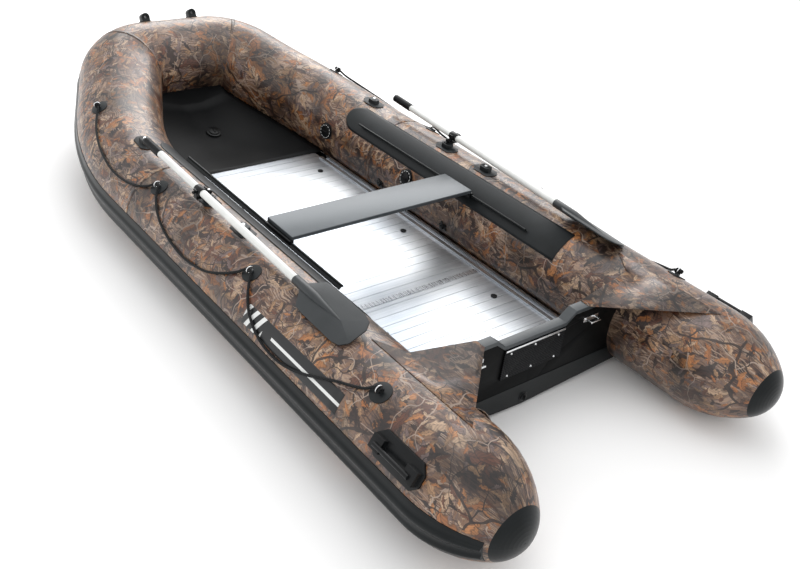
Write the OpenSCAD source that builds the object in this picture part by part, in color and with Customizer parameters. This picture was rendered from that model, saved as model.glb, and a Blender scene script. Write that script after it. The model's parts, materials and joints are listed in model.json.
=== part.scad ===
// Inflatable dinghy with a slatted aluminium floor, one bench and two oars.
// Axes: +X starboard, +Y towards the bow, +Z up. Places along the boat are
// measured forward from the transom's rear face, then the whole boat is moved
// so that the origin is at the middle of its box, on the ground.

/* [Tubes] */
// Diameter of the inflated tubes
tube_d = 440; // [400:5:480]
// Distance between the centre lines of the side tubes
tube_spacing = 1370; // [1320:10:1500]
// Full-diameter length of a side tube behind the transom
stern_len = 340; // [280:10:420]
// Length of the tapered cone at each stern end
cone_len = 285; // [250:5:340]
// Diameter of the cone where its rubber cap begins
cone_end_d = 220; // [180:5:240]
// From the transom to the wall between side and bow chambers
chamber_y = 1735; // [1650:5:1800]
// From the transom to where the tubes begin to rise
rise_y = 1900; // [1900:10:1930]
// From the transom to where the tubes begin to curve inwards
curve_y = 1942; // [1940:1:2000]
// Radius of the long inward curve at the tube's centre line
curve_r = 1616; // [1500:4:1750]
// Angle that the long curve turns through
curve_a = 25; // [22:1:27]
// Straight length between the long curve and the bow corner
shoulder_len = 297; // [240:1:340]
// Radius of the bow corner at the tube's centre line
corner_r = 250; // [250:5:270]
// How far the bow rises above the side tubes
bow_rise = 216; // [160:4:260]
// Thickness of the internal chamber walls
baffle_t = 2; // [1:0.5:4]

/* [Hull] */
// Thickness of the bottom skin
skin_t = 3; // [2:0.5:5]
// Depth of the bottom's shallow V
hull_v = 28; // [20:1:34]
// Radius of the inflated keel tube under the floor
keel_r = 45; // [40:1:45]
// Thickness of the bow floor cloth
apron_t = 2; // [1:0.5:4]
// Height of the rounded ridges of the rubbing strake
strake_h = 13; // [9:1:16]

/* [Floor] */
// Height of the floor's top face above the ground
floor_z = 125; // [122:1:130]
// Thickness of the floor panels
floor_t = 18; // [16:1:18]
// Half width of the floor panels
floor_half_w = 411; // [395:1:420]
// Length of the stern floor panel
stern_panel_len = 692; // [600:1:720]
// Length of the middle and the bow floor panel
panel_len = 717; // [650:1:720]
// Distance between the cross grooves of the floor
groove_pitch = 59; // [50:1:80]

/* [Transom] */
// Thickness of the transom board
transom_t = 40; // [32:1:48]
// Height of the transom at its sides
transom_top_z = 383; // [370:1:390]
// Height of the transom where the motor hangs
motor_notch_z = 343; // [335:1:350]
// Width of the motor notch
motor_notch_w = 330; // [300:5:360]
// Height of the capping strip
cap_t = 8; // [5:1:10]

/* [Bench] */
// Length of the bench board, across the boat
bench_len = 1010; // [990:1:1012]
// Width of the bench board, along the boat
bench_w = 200; // [160:5:260]
// Thickness of the bench board
bench_t = 18; // [14:1:22]
// From the transom to the middle of the bench
bench_y = 1067; // [900:1:1400]
// From the transom to the stern end of the seat beads
bead_y = 592; // [560:1:640]
// Length of the seat beads
bead_len = 1300; // [1200:5:1305]

/* [Oars] */
// Diameter of the oar shaft
shaft_d = 34; // [30:1:36]
// From the oarlock to the end of the grip
oar_inboard = 530; // [500:5:660]
// From the oarlock to the end of the blade
oar_outboard = 1165; // [1000:5:1250]
// Length of the hand grip
grip_len = 150; // [120:5:260]
// Length of the blade
blade_len = 345; // [280:5:380]
// Width of the blade
blade_w = 158; // [130:1:160]
// Sideways slope of the stowed blade
blade_tilt = 25; // [22:1:28]
// Downward slope of the stowed oar towards its blade
oar_dip = 1.6; // [1.2:0.1:1.7]
// Outward turn of the stowed starboard oar
starboard_yaw = 2.2; // [0:0.1:3]
// How much less the starboard oar slopes, as its blade rests higher on the tube
starboard_dip_less = 0.4; // [0.3:0.1:0.6]
// From the transom to the stern pad, the oarlock pad and the bow pad
pad_ys = [1068, 1364, 2015];

/* [Fittings] */
// From the transom to each line ring on a side
ring_ys = [-41, 803, 1612, 2435];
// Diameter of the grab line
line_d = 11; // [8:1:12]
// From the transom to the middle of the carry handles
handle_y = -262; // [-265:1:-200]
// Distance between the two bow loops
loop_spacing = 290; // [240:5:320]
// Bore of the bow loops
loop_bore_d = 18; // [14:1:22]
// Bore of the drain
drain_d = 22; // [16:1:24]

/* [Hidden] */
$fn = 64;
tube_r = tube_d / 2;
tube_x = tube_spacing / 2;
seat_gap = 0.3;          // clearance of a piece that lies on another
facet_gap = 0.6;         // the same on the faceted bow
run_gap = 0.05;          // radial clearance of a running fit

// ---- tube centre line -------------------------------------------------
cone_end_r = cone_end_d / 2;
cone_y = -stern_len;                  // where the cone begins
cone_end_y = cone_y - cone_len;
cone_fall = tube_r - cone_end_r;
cone_arc_r = (cone_len * cone_len + cone_fall * cone_fall) / (2 * cone_fall);
cone_slope = asin(cone_len / cone_arc_r);
cap_r = cone_end_r / cos(cone_slope);
cap_len = cap_r * (1 - sin(cone_slope));
stern_tip_y = cone_end_y - cap_len;

curve_end = [tube_x - curve_r * (1 - cos(curve_a)), curve_y + curve_r * sin(curve_a)];
corner_start = curve_end + shoulder_len * [-sin(curve_a), cos(curve_a)];
corner_mid = corner_start - corner_r * [cos(curve_a), sin(curve_a)];
bow_y = corner_mid.y + corner_r;      // centre line of the crossing tube
rise_power = 1.8;
ridge_a = -4;                         // angle of the upper strake ridge
bow_tip_y = bow_y + (tube_r + facet_gap + strake_h) * cos(ridge_a);
mid_y = (stern_tip_y + bow_tip_y) / 2;

function rise_share(y) = max(0, (y - rise_y) / (bow_y - rise_y));
function axis_z(y) = tube_r + bow_rise * pow(rise_share(y), rise_power);
function axis_slope(y) = y <= rise_y ? 0
    : rise_power * bow_rise / (bow_y - rise_y) * pow(rise_share(y), rise_power - 1);
function unit(v) = v / norm(v);

// A station is [point on the centre line, outward direction, upward direction].
function station_at(x, y, turn) =
    let (out = [cos(turn), sin(turn), 0],
         along = unit([-sin(turn), cos(turn), axis_slope(y) * cos(turn)]))
    [[x, y, axis_z(y)], out, cross(out, along)];
function turn_at(y) = y <= curve_y ? 0 : asin((y - curve_y) / curve_r);
function station(y) = station_at(tube_x - curve_r * (1 - cos(turn_at(y))), y, turn_at(y));
function on_station(s, r, a) = s[0] + r * (cos(a) * s[1] + sin(a) * s[2]);
function flip(v) = [-v.x, v.y, v.z];
function mirrored(s) = [flip(s[0]), flip(s[1]), flip(s[2])];
function reversed(list) = [for (i = [len(list) - 1 : -1 : 0]) list[i]];

curve_steps = 6;
corner_steps = 7;
bow_start_y = chamber_y + baffle_t;
curve_stations = [for (i = [0 : curve_steps]) station(curve_y + (curve_end.y - curve_y) * i / curve_steps)];
corner_stations = [for (i = [0 : corner_steps])
    let (a = curve_a + (90 - curve_a) * i / corner_steps)
    station_at(corner_mid.x + corner_r * cos(a), corner_mid.y + corner_r * sin(a), a)];
bow_half = concat([station(bow_start_y), station(rise_y)], curve_stations, corner_stations);
bow_stations = concat(bow_half, [for (s = reversed(bow_half)) mirrored(s)]);

// Radius of the outside of a side tube, cone included, at a place along it.
function tube_r_at(y) = y >= cone_y ? tube_r
    : tube_r - cone_arc_r + sqrt(cone_arc_r * cone_arc_r - pow(cone_y - y, 2));

// ---- shared solids ----------------------------------------------------
// A closed solid through rings of points, all with the same count, each running
// anticlockwise as seen looking towards the last ring. A sheet's rings list one face and
// then the other backwards. Both faces are split along the same diagonals and the ends are
// closed by strips, so that it keeps its thickness where it bends.
module loft(rings, sheet = false) {
    n = len(rings[0]);
    m = len(rings);
    last = (m - 1) * n;
    function sides(a, b, c, d, turned) = turned ? [[a, b, d], [a, d, c]] : [[a, b, c], [b, d, c]];
    polyhedron(
        points = [for (ring = rings) each ring],
        faces = concat(
            sheet ? [for (j = [0 : n / 2 - 2]) [j + 1, j, n - 1 - j, n - 2 - j]]
                : [[for (j = [n - 1 : -1 : 0]) j]],
            [for (i = [0 : m - 2]) for (j = [0 : n - 1]) let (a = i * n + j, b = i * n + (j + 1) % n)
                each sides(a, b, a + n, b + n, sheet && j >= n / 2)],
            sheet ? [for (j = [0 : n / 2 - 2]) [last + j, last + j + 1, last + n - 2 - j, last + n - 1 - j]]
                : [[for (j = [0 : n - 1]) last + j]]));
}

// Places children on a tube: local Z points out of it and local Y along it.
module on_tube(s, a, r = tube_r) {
    out = cos(a) * s[1] + sin(a) * s[2];
    along = cross(s[2], s[1]);
    side = cross(along, out);
    at = on_station(s, r, a);
    multmatrix([
        [side.x, along.x, out.x, at.x],
        [side.y, along.y, out.y, at.y],
        [side.z, along.z, out.z, at.z],
        [0, 0, 0, 1]])
        children();
}

// A piece of sheet that lies round the tube, cut to the outline given as its child.
module patch(t, gap = seat_gap) {
    reach = 500;
    depth = 60;
    intersection() {
        translate([0, 0, -tube_r]) rotate([90, 0, 0]) difference() {
            cylinder(r = tube_r + gap + t, h = reach, center = true, $fn = 128);
            cylinder(r = tube_r + gap, h = reach + 2, center = true, $fn = 128);
        }
        translate([0, 0, -depth]) linear_extrude(depth + 2 * t + 1) children();
    }
}

module both_sides() {
    children();
    mirror([1, 0, 0]) children();
}

// ---- tubes ------------------------------------------------------------
cone_steps = 8;
cone_profile = [for (i = [0 : cone_steps])
    let (y = cone_y - cone_len * i / cone_steps) [tube_r_at(y), -y]];

module side_tube() {
    translate([tube_x, 0, tube_r]) rotate([90, 0, 0])
        rotate_extrude($fn = 96)
            polygon(concat([[0, -chamber_y], [tube_r, -chamber_y]], cone_profile, [[0, -cone_end_y]]));
}

module side_tube_with_valve() {
    difference() {
        side_tube();
        on_tube(station(valve_y), valve_a) translate([0, 0, -valve_depth - seat_gap])
            cylinder(r = valve_barrel_r + seat_gap, h = 2 * valve_depth);
    }
}

module port_tube() { color("#8a6a52") mirror([1, 0, 0]) side_tube_with_valve(); }
module starboard_tube() { color("#8a6a52") side_tube_with_valve(); }

bow_sides = 32;
module bow_tube() {
    color("#8a6a52") loft([for (s = bow_stations)
        [for (j = [0 : bow_sides - 1]) on_station(s, tube_r, 360 * j / bow_sides)]]);
}

module chamber_baffles() {
    color("#c9c3b8") both_sides() translate([tube_x, chamber_y, tube_r]) rotate([-90, 0, 0])
        cylinder(r = tube_r - 1, h = baffle_t);
}

cap_steps = 8;
module cone_caps() {
    cap_mid_y = cone_end_y + cap_r * sin(cone_slope);
    color("#20282c") both_sides() translate([tube_x, 0, tube_r]) rotate([90, 0, 0])
        rotate_extrude($fn = 96) polygon(concat([[0, -cone_end_y]],
            [for (i = [0 : cap_steps])
                let (a = cone_slope + (90 - cone_slope) * i / cap_steps)
                [cap_r * cos(a), -cap_mid_y + cap_r * sin(a)]]));
}

// ---- rubbing strake ---------------------------------------------------
strake_top_a = 9;
strake_low_a = -38;
strake_end_y = cone_end_y + 12;
strake_back_steps = 6;
strake_profile = [[9, 0.2], [5, 0.24], [1, 0.28], [-1.5, 0.75], [-4, 1], [-6.5, 0.75], [-10, 0.28],
    [-16, 0.28], [-19, 0.7], [-22, 0.92], [-25, 0.7], [-28.5, 0.28], [-33, 0.24], [-38, 0.2]];
strake_stern = [for (i = [0 : cone_steps])
    let (y = strake_end_y + (cone_y - strake_end_y) * i / cone_steps) y];
// A ring's back must clear the round tube between its points.
back_half_step = (strake_top_a - strake_low_a) / strake_back_steps / 2;
function strake_ring(s, r, gap) = concat(
    [for (i = [strake_back_steps : -1 : 0])
        on_station(s, (r + gap) / cos(back_half_step),
            strake_low_a + (strake_top_a - strake_low_a) * i / strake_back_steps)],
    [for (p = reversed(strake_profile)) on_station(s, r + gap + strake_h * p[1] + 0.8, p[0])]);

module strake() {
    loft(concat(
        [for (y = strake_stern) strake_ring(station(y), tube_r_at(y), seat_gap + 0.4)],
        [strake_ring(station(chamber_y), tube_r, seat_gap + 0.4)],
        [for (s = bow_half) strake_ring(s, tube_r, facet_gap)],
        [strake_ring(station_at(seat_gap / 2, bow_y, 90), tube_r, facet_gap)]));
}
module port_strake() { color("#1a2226") mirror([1, 0, 0]) strake(); }
module starboard_strake() { color("#1a2226") strake(); }

// ---- floor ------------------------------------------------------------
joiner_web = 3;
joiner_lip_t = 1.5;
joiner_w = 30;
floor_y = transom_t + 2;
floor_end_y = floor_y + stern_panel_len + 2 * panel_len + 2 * joiner_web;
groove_w = 2.4;
groove_depth = 1.4;
nose_len = 24;
floor_low_z = floor_z - floor_t;
panel_starts = [floor_y, floor_y + stern_panel_len + joiner_web,
    floor_y + stern_panel_len + panel_len + 2 * joiner_web];
panel_gap = 0.3;

// Side view of a panel: grooved on top, and sloped at the bow end where it is the last.
module panel_outline(start, len, nosed) {
    difference() {
        translate([start + panel_gap, floor_low_z]) square([len - 2 * panel_gap, floor_t]);
        for (y = [start + groove_pitch : groove_pitch : start + len - groove_pitch / 2])
            translate([y - groove_w / 2, floor_z - groove_depth]) square([groove_w, groove_depth + 1]);
        if (nosed) translate([start + len - nose_len, floor_z])
            rotate(-22) square([2 * nose_len, nose_len]);
    }
}
module floor_panel(i) {
    len = i == 0 ? stern_panel_len : panel_len;
    color("#c8ced4") rotate([90, 0, 90]) translate([0, 0, -floor_half_w])
        linear_extrude(2 * floor_half_w) panel_outline(panel_starts[i], len, i == 2);
}
module stern_floor_panel() { floor_panel(0); }
module middle_floor_panel() { floor_panel(1); }
module bow_floor_panel() { floor_panel(2); }

module floor_joiners() {
    half = floor_half_w - stringer_grip - 1;
    color("#b4bac0") for (i = [1, 2]) translate([0, panel_starts[i] - joiner_web / 2, 0])
        rotate([90, 0, 90]) translate([0, 0, -half]) linear_extrude(2 * half) {
            translate([-joiner_web / 2, floor_low_z - panel_gap])
                square([joiner_web, floor_t + 2 * panel_gap]);
            for (z = [floor_z + panel_gap, floor_low_z - panel_gap - joiner_lip_t])
                translate([-joiner_w / 2, z]) square([joiner_w, joiner_lip_t]);
        }
}

// Side stringer: a channel that grips the panels' edges, with a wing out to the tube.
stringer_grip = 17;
stringer_wall = 2.5;
stringer_out = 41;
stringer_end_y = 2085;
stringer_side_gap = 9;   // the tubes close in beside the stringers' bow ends
module stringer() {
    in_x = floor_half_w - stringer_grip;
    web_x = floor_half_w + panel_gap;
    out_x = floor_half_w + stringer_out;
    low_z = floor_low_z - panel_gap - stringer_wall;
    wing_z = floor_low_z - panel_gap;
    wing_x = tube_x - sqrt(tube_r * tube_r - pow(tube_r - wing_z, 2)) - stringer_side_gap;
    rib_z = floor_z + 7;
    color("#d2d7db") translate([0, stringer_end_y, 0]) rotate([90, 0, 0])
        linear_extrude(stringer_end_y - floor_y) polygon([
            [in_x, low_z], [wing_x, low_z], [wing_x, wing_z], [out_x, wing_z], [out_x, rib_z],
            [out_x - 12, rib_z], [out_x - 12, wing_z + 8], [web_x + stringer_wall, wing_z + 8],
            [web_x + stringer_wall, floor_z + 9], [in_x, floor_z + 9], [in_x, floor_z + panel_gap],
            [web_x, floor_z + panel_gap], [web_x, wing_z], [in_x, wing_z]]);
}
module port_stringer() { mirror([1, 0, 0]) stringer(); }
module starboard_stringer() { stringer(); }

plug_x = 308;
plug_ys = [526, 1198, 1943];
plug_r = 15;
module floor_plugs() {
    color("#15181a") both_sides() for (y = plug_ys)
        translate([plug_x, y, floor_z + seat_gap]) difference() {
            cylinder(r = plug_r, h = 4);
            translate([0, 0, 2]) for (a = [35, 125]) rotate(a)
                translate([-1.5, -9, 0]) cube([3, 18, 4]);
        }
}

// ---- bottom, keel and bow floor --------------------------------------
skin_a = 235;
apron_a = 215;
keel_flat = 12;
apron_flat = 60;
skin_stations = concat([station(0), station(chamber_y), station(rise_y)], curve_stations, corner_stations);
function keel_line(s) = let (edge = on_station(s, tube_r + facet_gap, skin_a))
    [0, edge.y, edge.z - hull_v];
// A sheet between the tubes: it sags by the given depth to a flat strip along the middle,
// and its thickness is measured square to its slope.
function sheet_ring(s, a, sag, flat, t, slope = 0) =
    let (edge = on_station(s, tube_r + facet_gap, a), low = t * [0, -sin(slope), cos(slope)],
         top = [edge, [flat, edge.y, edge.z - sag], [-flat, edge.y, edge.z - sag], flip(edge)])
    concat(top, [for (p = reversed(top)) p - low]);

module bottom_skin() {
    color("#1d2327") loft(sheet = true, rings =
        [for (s = skin_stations) sheet_ring(s, skin_a, hull_v, keel_flat, skin_t)]);
}

apron_start_y = floor_end_y + 20;
apron_sag = 50;
apron_steep_y = bow_y - 30;
apron_most_slope = 40;
apron_grow = 250;      // the sag grows over this run ahead of the floor
apron_fade = 140;      // and dies out over this run, before the bow tube
function apron_sag_at(y) = (10 + (apron_sag - 10) * min(1, (y - apron_start_y) / apron_grow))
    * min(1, (bow_y - y) / apron_fade);
apron_stations = concat([station(apron_start_y)],
    [for (s = concat(curve_stations, corner_stations))
        if (s[0].y > apron_start_y + 30 && (s[0].y < apron_steep_y || s[0].y > bow_y - 1)) s]);
function apron_mid(y) = let (edge = on_station(station(y), tube_r + facet_gap, apron_a))
    [0, edge.y, edge.z - apron_sag_at(y)];
module bow_apron() {
    n = len(apron_stations);
    mids = [for (s = apron_stations) on_station(s, tube_r, apron_a)];
    color("#343a3f") loft(sheet = true, rings = [for (i = [0 : n - 1])
        let (s = apron_stations[i], run = mids[min(i + 1, n - 1)] - mids[max(i - 1, 0)])
        sheet_ring(s, apron_a, apron_sag_at(s[0].y), apron_flat, apron_t,
            min(apron_most_slope, atan2(run.z, run.y)))]);
}

keel_start_y = 60;
keel_taper_y = 1650;
keel_tip_r = 9;
keel_stations = [for (y = [keel_start_y, keel_start_y + 60, keel_taper_y, 1900, 2080, 2260, 2440, 2600])
    station(y)];
function keel_r_at(y) = y < keel_start_y + 1 ? keel_r * 0.55
    : max(keel_tip_r, keel_r - (keel_r - keel_tip_r) * max(0, y - keel_taper_y) / 950);
module keel_tube() {
    color("#2a3035") loft([for (s = keel_stations)
        let (r = keel_r_at(s[0].y), c = keel_line(s) + [0, 0, keel_r_at(s[0].y) + 0.4])
        [for (j = [0 : 23]) c + [r * cos(15 * j), 0, r * sin(15 * j)]]]);
}

// ---- transom ----------------------------------------------------------
notch_half = motor_notch_w / 2;
notch_run = 50;
skin_half_w = on_station(station(0), tube_r + facet_gap, skin_a).x;
function skin_top_z(x) = keel_line(station(0)).z
    + hull_v * max(0, abs(x) - keel_flat) / (skin_half_w - keel_flat);
side_x = tube_x - 60;
transom_top = [[side_x, transom_top_z], [notch_half + notch_run, transom_top_z],
    [notch_half, motor_notch_z], [-notch_half, motor_notch_z],
    [-notch_half - notch_run, transom_top_z], [-side_x, transom_top_z]];

module between_tubes(gap = seat_gap) {
    difference() {
        children();
        for (s = [-1, 1]) translate([s * tube_x, tube_r]) circle(r = tube_r + gap, $fn = 128);
    }
}
module transom_outline() {
    between_tubes() polygon(concat(transom_top, [for (x = [-side_x, -keel_flat, keel_flat, side_x])
        [x, skin_top_z(x) + seat_gap]]));
}
// Extrudes an outline drawn in X and Z from y0 forward by depth.
module across(y0, depth) {
    translate([0, y0 + depth, 0]) rotate([90, 0, 0]) linear_extrude(depth) children();
}

plate_t = 6;
plate_low_z = 190;
plate_high_z = motor_notch_z - 13;
plate_half_w = motor_notch_w / 2;
screw_spots = [for (x = [-130, 0, 130]) for (z = [plate_low_z + 12, plate_high_z - 22]) [x, z]];
screw_r = 2.5;
screw_len = 16;
drain_z = 44;
drain_r = drain_d / 2;
drain_wall = 4;
drain_flange_r = 24;

module transom_board() {
    color("#14171a") difference() {
        across(0, transom_t) transom_outline();
        for (p = screw_spots) translate([p.x, -1, p.y]) rotate([-90, 0, 0])
            cylinder(r = screw_r + seat_gap, h = screw_len + 2);
        translate([0, -1, drain_z]) rotate([-90, 0, 0])
            cylinder(r = drain_r + drain_wall + seat_gap, h = transom_t + 2);
    }
}

cap_lip = 10;
cap_wall = 2.5;
cap_half_w = 500;
module cap_outline(drop, rise) {
    polygon(concat([for (p = transom_top) [max(-cap_half_w, min(cap_half_w, p.x)), p.y + rise]],
        [for (p = reversed(transom_top)) [max(-cap_half_w, min(cap_half_w, p.x)), p.y - drop]]));
}
module transom_cap() {
    color("#8e979c") {
        across(-cap_wall - seat_gap, transom_t + 2 * (cap_wall + seat_gap)) cap_outline(-seat_gap, cap_t);
        for (y = [-cap_wall - seat_gap, transom_t + seat_gap]) across(y, cap_wall) cap_outline(cap_lip, 1);
    }
}

module motor_plates() {
    color("#202528") difference() {
        for (y = [-plate_t, transom_t]) across(y, plate_t)
            translate([-plate_half_w, plate_low_z]) square([2 * plate_half_w, plate_high_z - plate_low_z]);
        for (p = screw_spots) translate([p.x, -plate_t - 1, p.y]) rotate([-90, 0, 0])
            cylinder(r = screw_r + seat_gap, h = plate_t + 2);
    }
}
strip_h = 8;
module plate_strip() {
    color("#dfe3e6") across(-plate_t - 3, 3)
        translate([-plate_half_w + 3, plate_high_z - strip_h]) square([2 * plate_half_w - 6, strip_h]);
}
module transom_screws() {
    color("#d8dcdf") for (p = screw_spots) translate([p.x, -plate_t, p.y]) rotate([-90, 0, 0]) {
        cylinder(r = screw_r, h = screw_len);
        translate([0, 0, -2.5]) cylinder(r1 = 3, r2 = 5, h = 2.5);
    }
}
skirt_top_z = 118;
module transom_skirt() {
    color("#111417") difference() {
        across(-1.5, 1.5) intersection() {
            transom_outline();
            translate([-side_x, 0]) square([2 * side_x, skirt_top_z]);
        }
        translate([0, -3, drain_z]) rotate([-90, 0, 0]) cylinder(r = drain_flange_r + 1, h = 6);
    }
}
module drain_body() {
    color("#1b1e20") translate([0, 0, drain_z]) rotate([-90, 0, 0]) difference() {
        union() {
            cylinder(r = drain_r + drain_wall, h = transom_t);
            translate([0, 0, -3]) cylinder(r = drain_flange_r, h = 3);
        }
        translate([0, 0, -4]) cylinder(r = drain_r, h = transom_t + 5);
    }
}
plug_stem = 24;
module drain_plug() {
    color("#2b2f31") translate([0, -3 - seat_gap, drain_z]) rotate([-90, 0, 0]) {
        cylinder(r = drain_r - run_gap, h = plug_stem);
        translate([0, 0, -4]) cylinder(r = drain_r + 5, h = 4);
        translate([-2.5, -12, -14]) cube([5, 24, 10]);
    }
}
tow_x = 318;
tow_z = 325;
tow_rod_r = 4;
module tow_eyes() {
    color("#e2e6e8") both_sides() translate([tow_x, 0, tow_z]) {
        translate([-43, -2.5, -11]) cube([86, 2.5, 22]);
        for (x = [-26, 26]) translate([x, 0, 0]) rotate([90, 0, 0]) cylinder(r = tow_rod_r, h = 30);
        translate([-26, -30, 0]) sphere(r = tow_rod_r, $fn = 24);
        translate([26, -30, 0]) sphere(r = tow_rod_r, $fn = 24);
        translate([-26, -30, 0]) rotate([0, 90, 0]) cylinder(r = tow_rod_r, h = 52);
    }
}

// Splash gusset: a flat sheet from the transom's top, tangent to the tube.
gusset_t = 2;
gusset_x = 285;
gusset_z = transom_top_z + cap_t + seat_gap;
gusset_run = norm([tube_x - gusset_x, tube_r - gusset_z]);
gusset_a = asin((tube_r + facet_gap) / gusset_run) - atan2(gusset_z - tube_r, tube_x - gusset_x);
gusset_w = sqrt(gusset_run * gusset_run - pow(tube_r + facet_gap, 2)) + 8;
module corner_gussets() {
    color("#9a7a62") both_sides() translate([gusset_x, 0, gusset_z]) rotate([0, -gusset_a, 0])
        linear_extrude(gusset_t) polygon([[0, -4], [0, transom_t + 4], [gusset_w * 0.8, transom_t + 30],
            [gusset_w, transom_t + 150], [gusset_w, -355]]);
}

// ---- lines, rings and handles ----------------------------------------
ring_a = 61;
line_patch_r = 42;
line_patch_t = 3;
ring_r = 14;
ring_rod_r = 2.5;
ring_lift = line_patch_t + 1 + ring_rod_r + ring_r;
module line_patches() {
    color("#3c4449") both_sides() for (y = ring_ys) on_tube(station(y), ring_a) {
        patch(line_patch_t, facet_gap) circle(r = line_patch_r);
        difference() {
            translate([-9, -9, line_patch_t * 0.5]) cube([18, 18, line_patch_t + 7]);
            translate([0, 0, ring_lift]) rotate([90, 0, 0])
                rotate_extrude() translate([ring_r, 0]) circle(r = ring_rod_r + seat_gap, $fn = 24);
        }
    }
}
module line_rings() {
    color("#c9cdd0") both_sides() for (y = ring_ys) on_tube(station(y), ring_a)
        translate([0, 0, ring_lift]) rotate([90, 0, 0])
            rotate_extrude() translate([ring_r, 0]) circle(r = ring_rod_r, $fn = 24);
}

// Grab line route on the starboard side: [along the boat, angle round the tube, lift off it]
line_route = [
    [-58, 61, 20], [-41, 61, 20], [-20, 60, 19], [10, 54, 9], [60, 48, 7.5], [120, 42, 7], [190, 34, 7],
    [260, 26, 7], [330, 20, 7], [400, 16, 7], [470, 15, 7], [540, 17, 7], [610, 23, 7], [670, 31, 7],
    [720, 41, 7.5], [760, 51, 9], [785, 59, 18], [803, 61, 20], [822, 60, 18], [850, 53, 9], [890, 45, 7],
    [950, 36, 7], [1020, 29, 7], [1100, 25, 7], [1180, 23, 7], [1260, 24, 7], [1340, 27, 7], [1420, 32, 7],
    [1490, 39, 7], [1545, 47, 7.5], [1580, 54, 10], [1597, 60, 18], [1612, 61, 20], [1630, 60, 18],
    [1660, 54, 9], [1710, 47, 7], [1790, 41, 7], [1880, 38, 7], [1970, 38, 7], [2060, 40, 7.5], [2150, 43, 8],
    [2240, 47, 8], [2320, 52, 8], [2380, 57, 10], [2415, 61, 18], [2435, 61, 20], [2452, 61, 20]];
line_sides = 8;
function line_point(i) = let (p = line_route[i]) on_station(station(p[0]), tube_r + p[2], p[1]);
function line_along(i) = unit(line_point(min(i + 1, len(line_route) - 1)) - line_point(max(i - 1, 0)));
function line_ring(i) =
    let (c = line_point(i), t = line_along(i), u = unit(cross(t, [0, 0, 1])), v = cross(t, u))
    [for (j = [0 : line_sides - 1])
        let (a = 360 * j / line_sides) c + line_d / 2 * (cos(a) * u + sin(a) * v)];
module grab_line() { loft([for (i = [0 : len(line_route) - 1]) line_ring(i)]); }
module port_grab_line() { color("#16191b") mirror([1, 0, 0]) grab_line(); }
module starboard_grab_line() { color("#16191b") grab_line(); }

handle_a = 30;
handle_len = 245;
handle_w = 104;
handle_base_t = 9;
handle_block = 58;
handle_top = 46;
grip_w = 26;
bar_r = 9;
module long_hexagon(len, w, cut) {
    polygon([[-w / 2, -len / 2 + cut], [-w / 2 + cut, -len / 2],
        [w / 2 - cut, -len / 2], [w / 2, -len / 2 + cut],
        [w / 2, len / 2 - cut], [w / 2 - cut, len / 2], [-w / 2 + cut, len / 2], [-w / 2, len / 2 - cut]]);
}
// Moulded carry handle: curved base, two end blocks and a bar with a finger gap under it.
module carry_handle() {
    gap_half = handle_len / 2 - handle_block;
    on_tube(station(handle_y), handle_a) {
        patch(handle_base_t) long_hexagon(handle_len, handle_w, 30);
        for (s = [-1, 1]) translate([0, s * (handle_len / 2 - handle_block / 2 - 8), handle_top / 2 - 5])
            cube([2 * grip_w, handle_block - 6, handle_top - 14], center = true);
        translate([6, 0, handle_top - bar_r]) rotate([90, 0, 0])
            cylinder(r = bar_r, h = 2 * gap_half + 50, center = true);
    }
}
module port_carry_handle() { color("#242c30") mirror([1, 0, 0]) carry_handle(); }
module starboard_carry_handle() { color("#242c30") carry_handle(); }

strap_y = -212;
strap_a = 165;
strap_half = 62;
strap_lift = 26;
strap_t = 3;
strap_foot = 40;
module strap_outline() {
    top = [for (i = [0 : 12]) let (u = -1 + i / 6)
        [u * strap_half, strap_t + 1 + strap_lift * (1 - u * u)]];
    low = [for (p = reversed(top)) [p.x * (1 - 2 * strap_t / strap_half), p.y - strap_t]];
    polygon(concat(top, low));
    for (s = [-1, 1]) translate([s * (strap_half + strap_foot / 2 - 5), 1 + strap_t / 2])
        square([strap_foot, strap_t], center = true);
}
module strap_handles() {
    color("#7a6048") both_sides() on_tube(station(strap_y), strap_a)
        translate([22, 0, -0.6]) rotate([90, 0, -90]) linear_extrude(44) strap_outline();
}

loop_a = 64;
loop_r = 23;
loop_w = 44;
module bow_loops() {
    color("#15191b") both_sides()
        on_tube(station_at(loop_spacing / 2, bow_y, 90), loop_a) {
            patch(3, facet_gap) circle(r = 36);
            difference() {
                union() {
                    translate([-loop_w / 2, 0, loop_r + 2]) rotate([0, 90, 0])
                        cylinder(r = loop_r, h = loop_w);
                    translate([-loop_w / 2, -loop_r, 1]) cube([loop_w, 2 * loop_r, loop_r]);
                }
                translate([-loop_w / 2 - 1, 0, loop_r + 2]) rotate([0, 90, 0])
                    cylinder(r = loop_bore_d / 2, h = loop_w + 2);
            }
        }
}

tie_ys = [1093, 1620];
tie_a = 195;
module tie_downs() {
    color("#17191b") both_sides() for (y = tie_ys) on_tube(station(y), tie_a) difference() {
        union() {
            patch(3) { circle(r = 20); for (i = [0 : 4]) rotate(72 * i) translate([0, 20]) circle(r = 10); }
            translate([0, 0, 1]) cylinder(r = 12, h = 15);
        }
        translate([-20, 0, 11]) rotate([0, 90, 0]) cylinder(r = 3.5, h = 40);
    }
}

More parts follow.
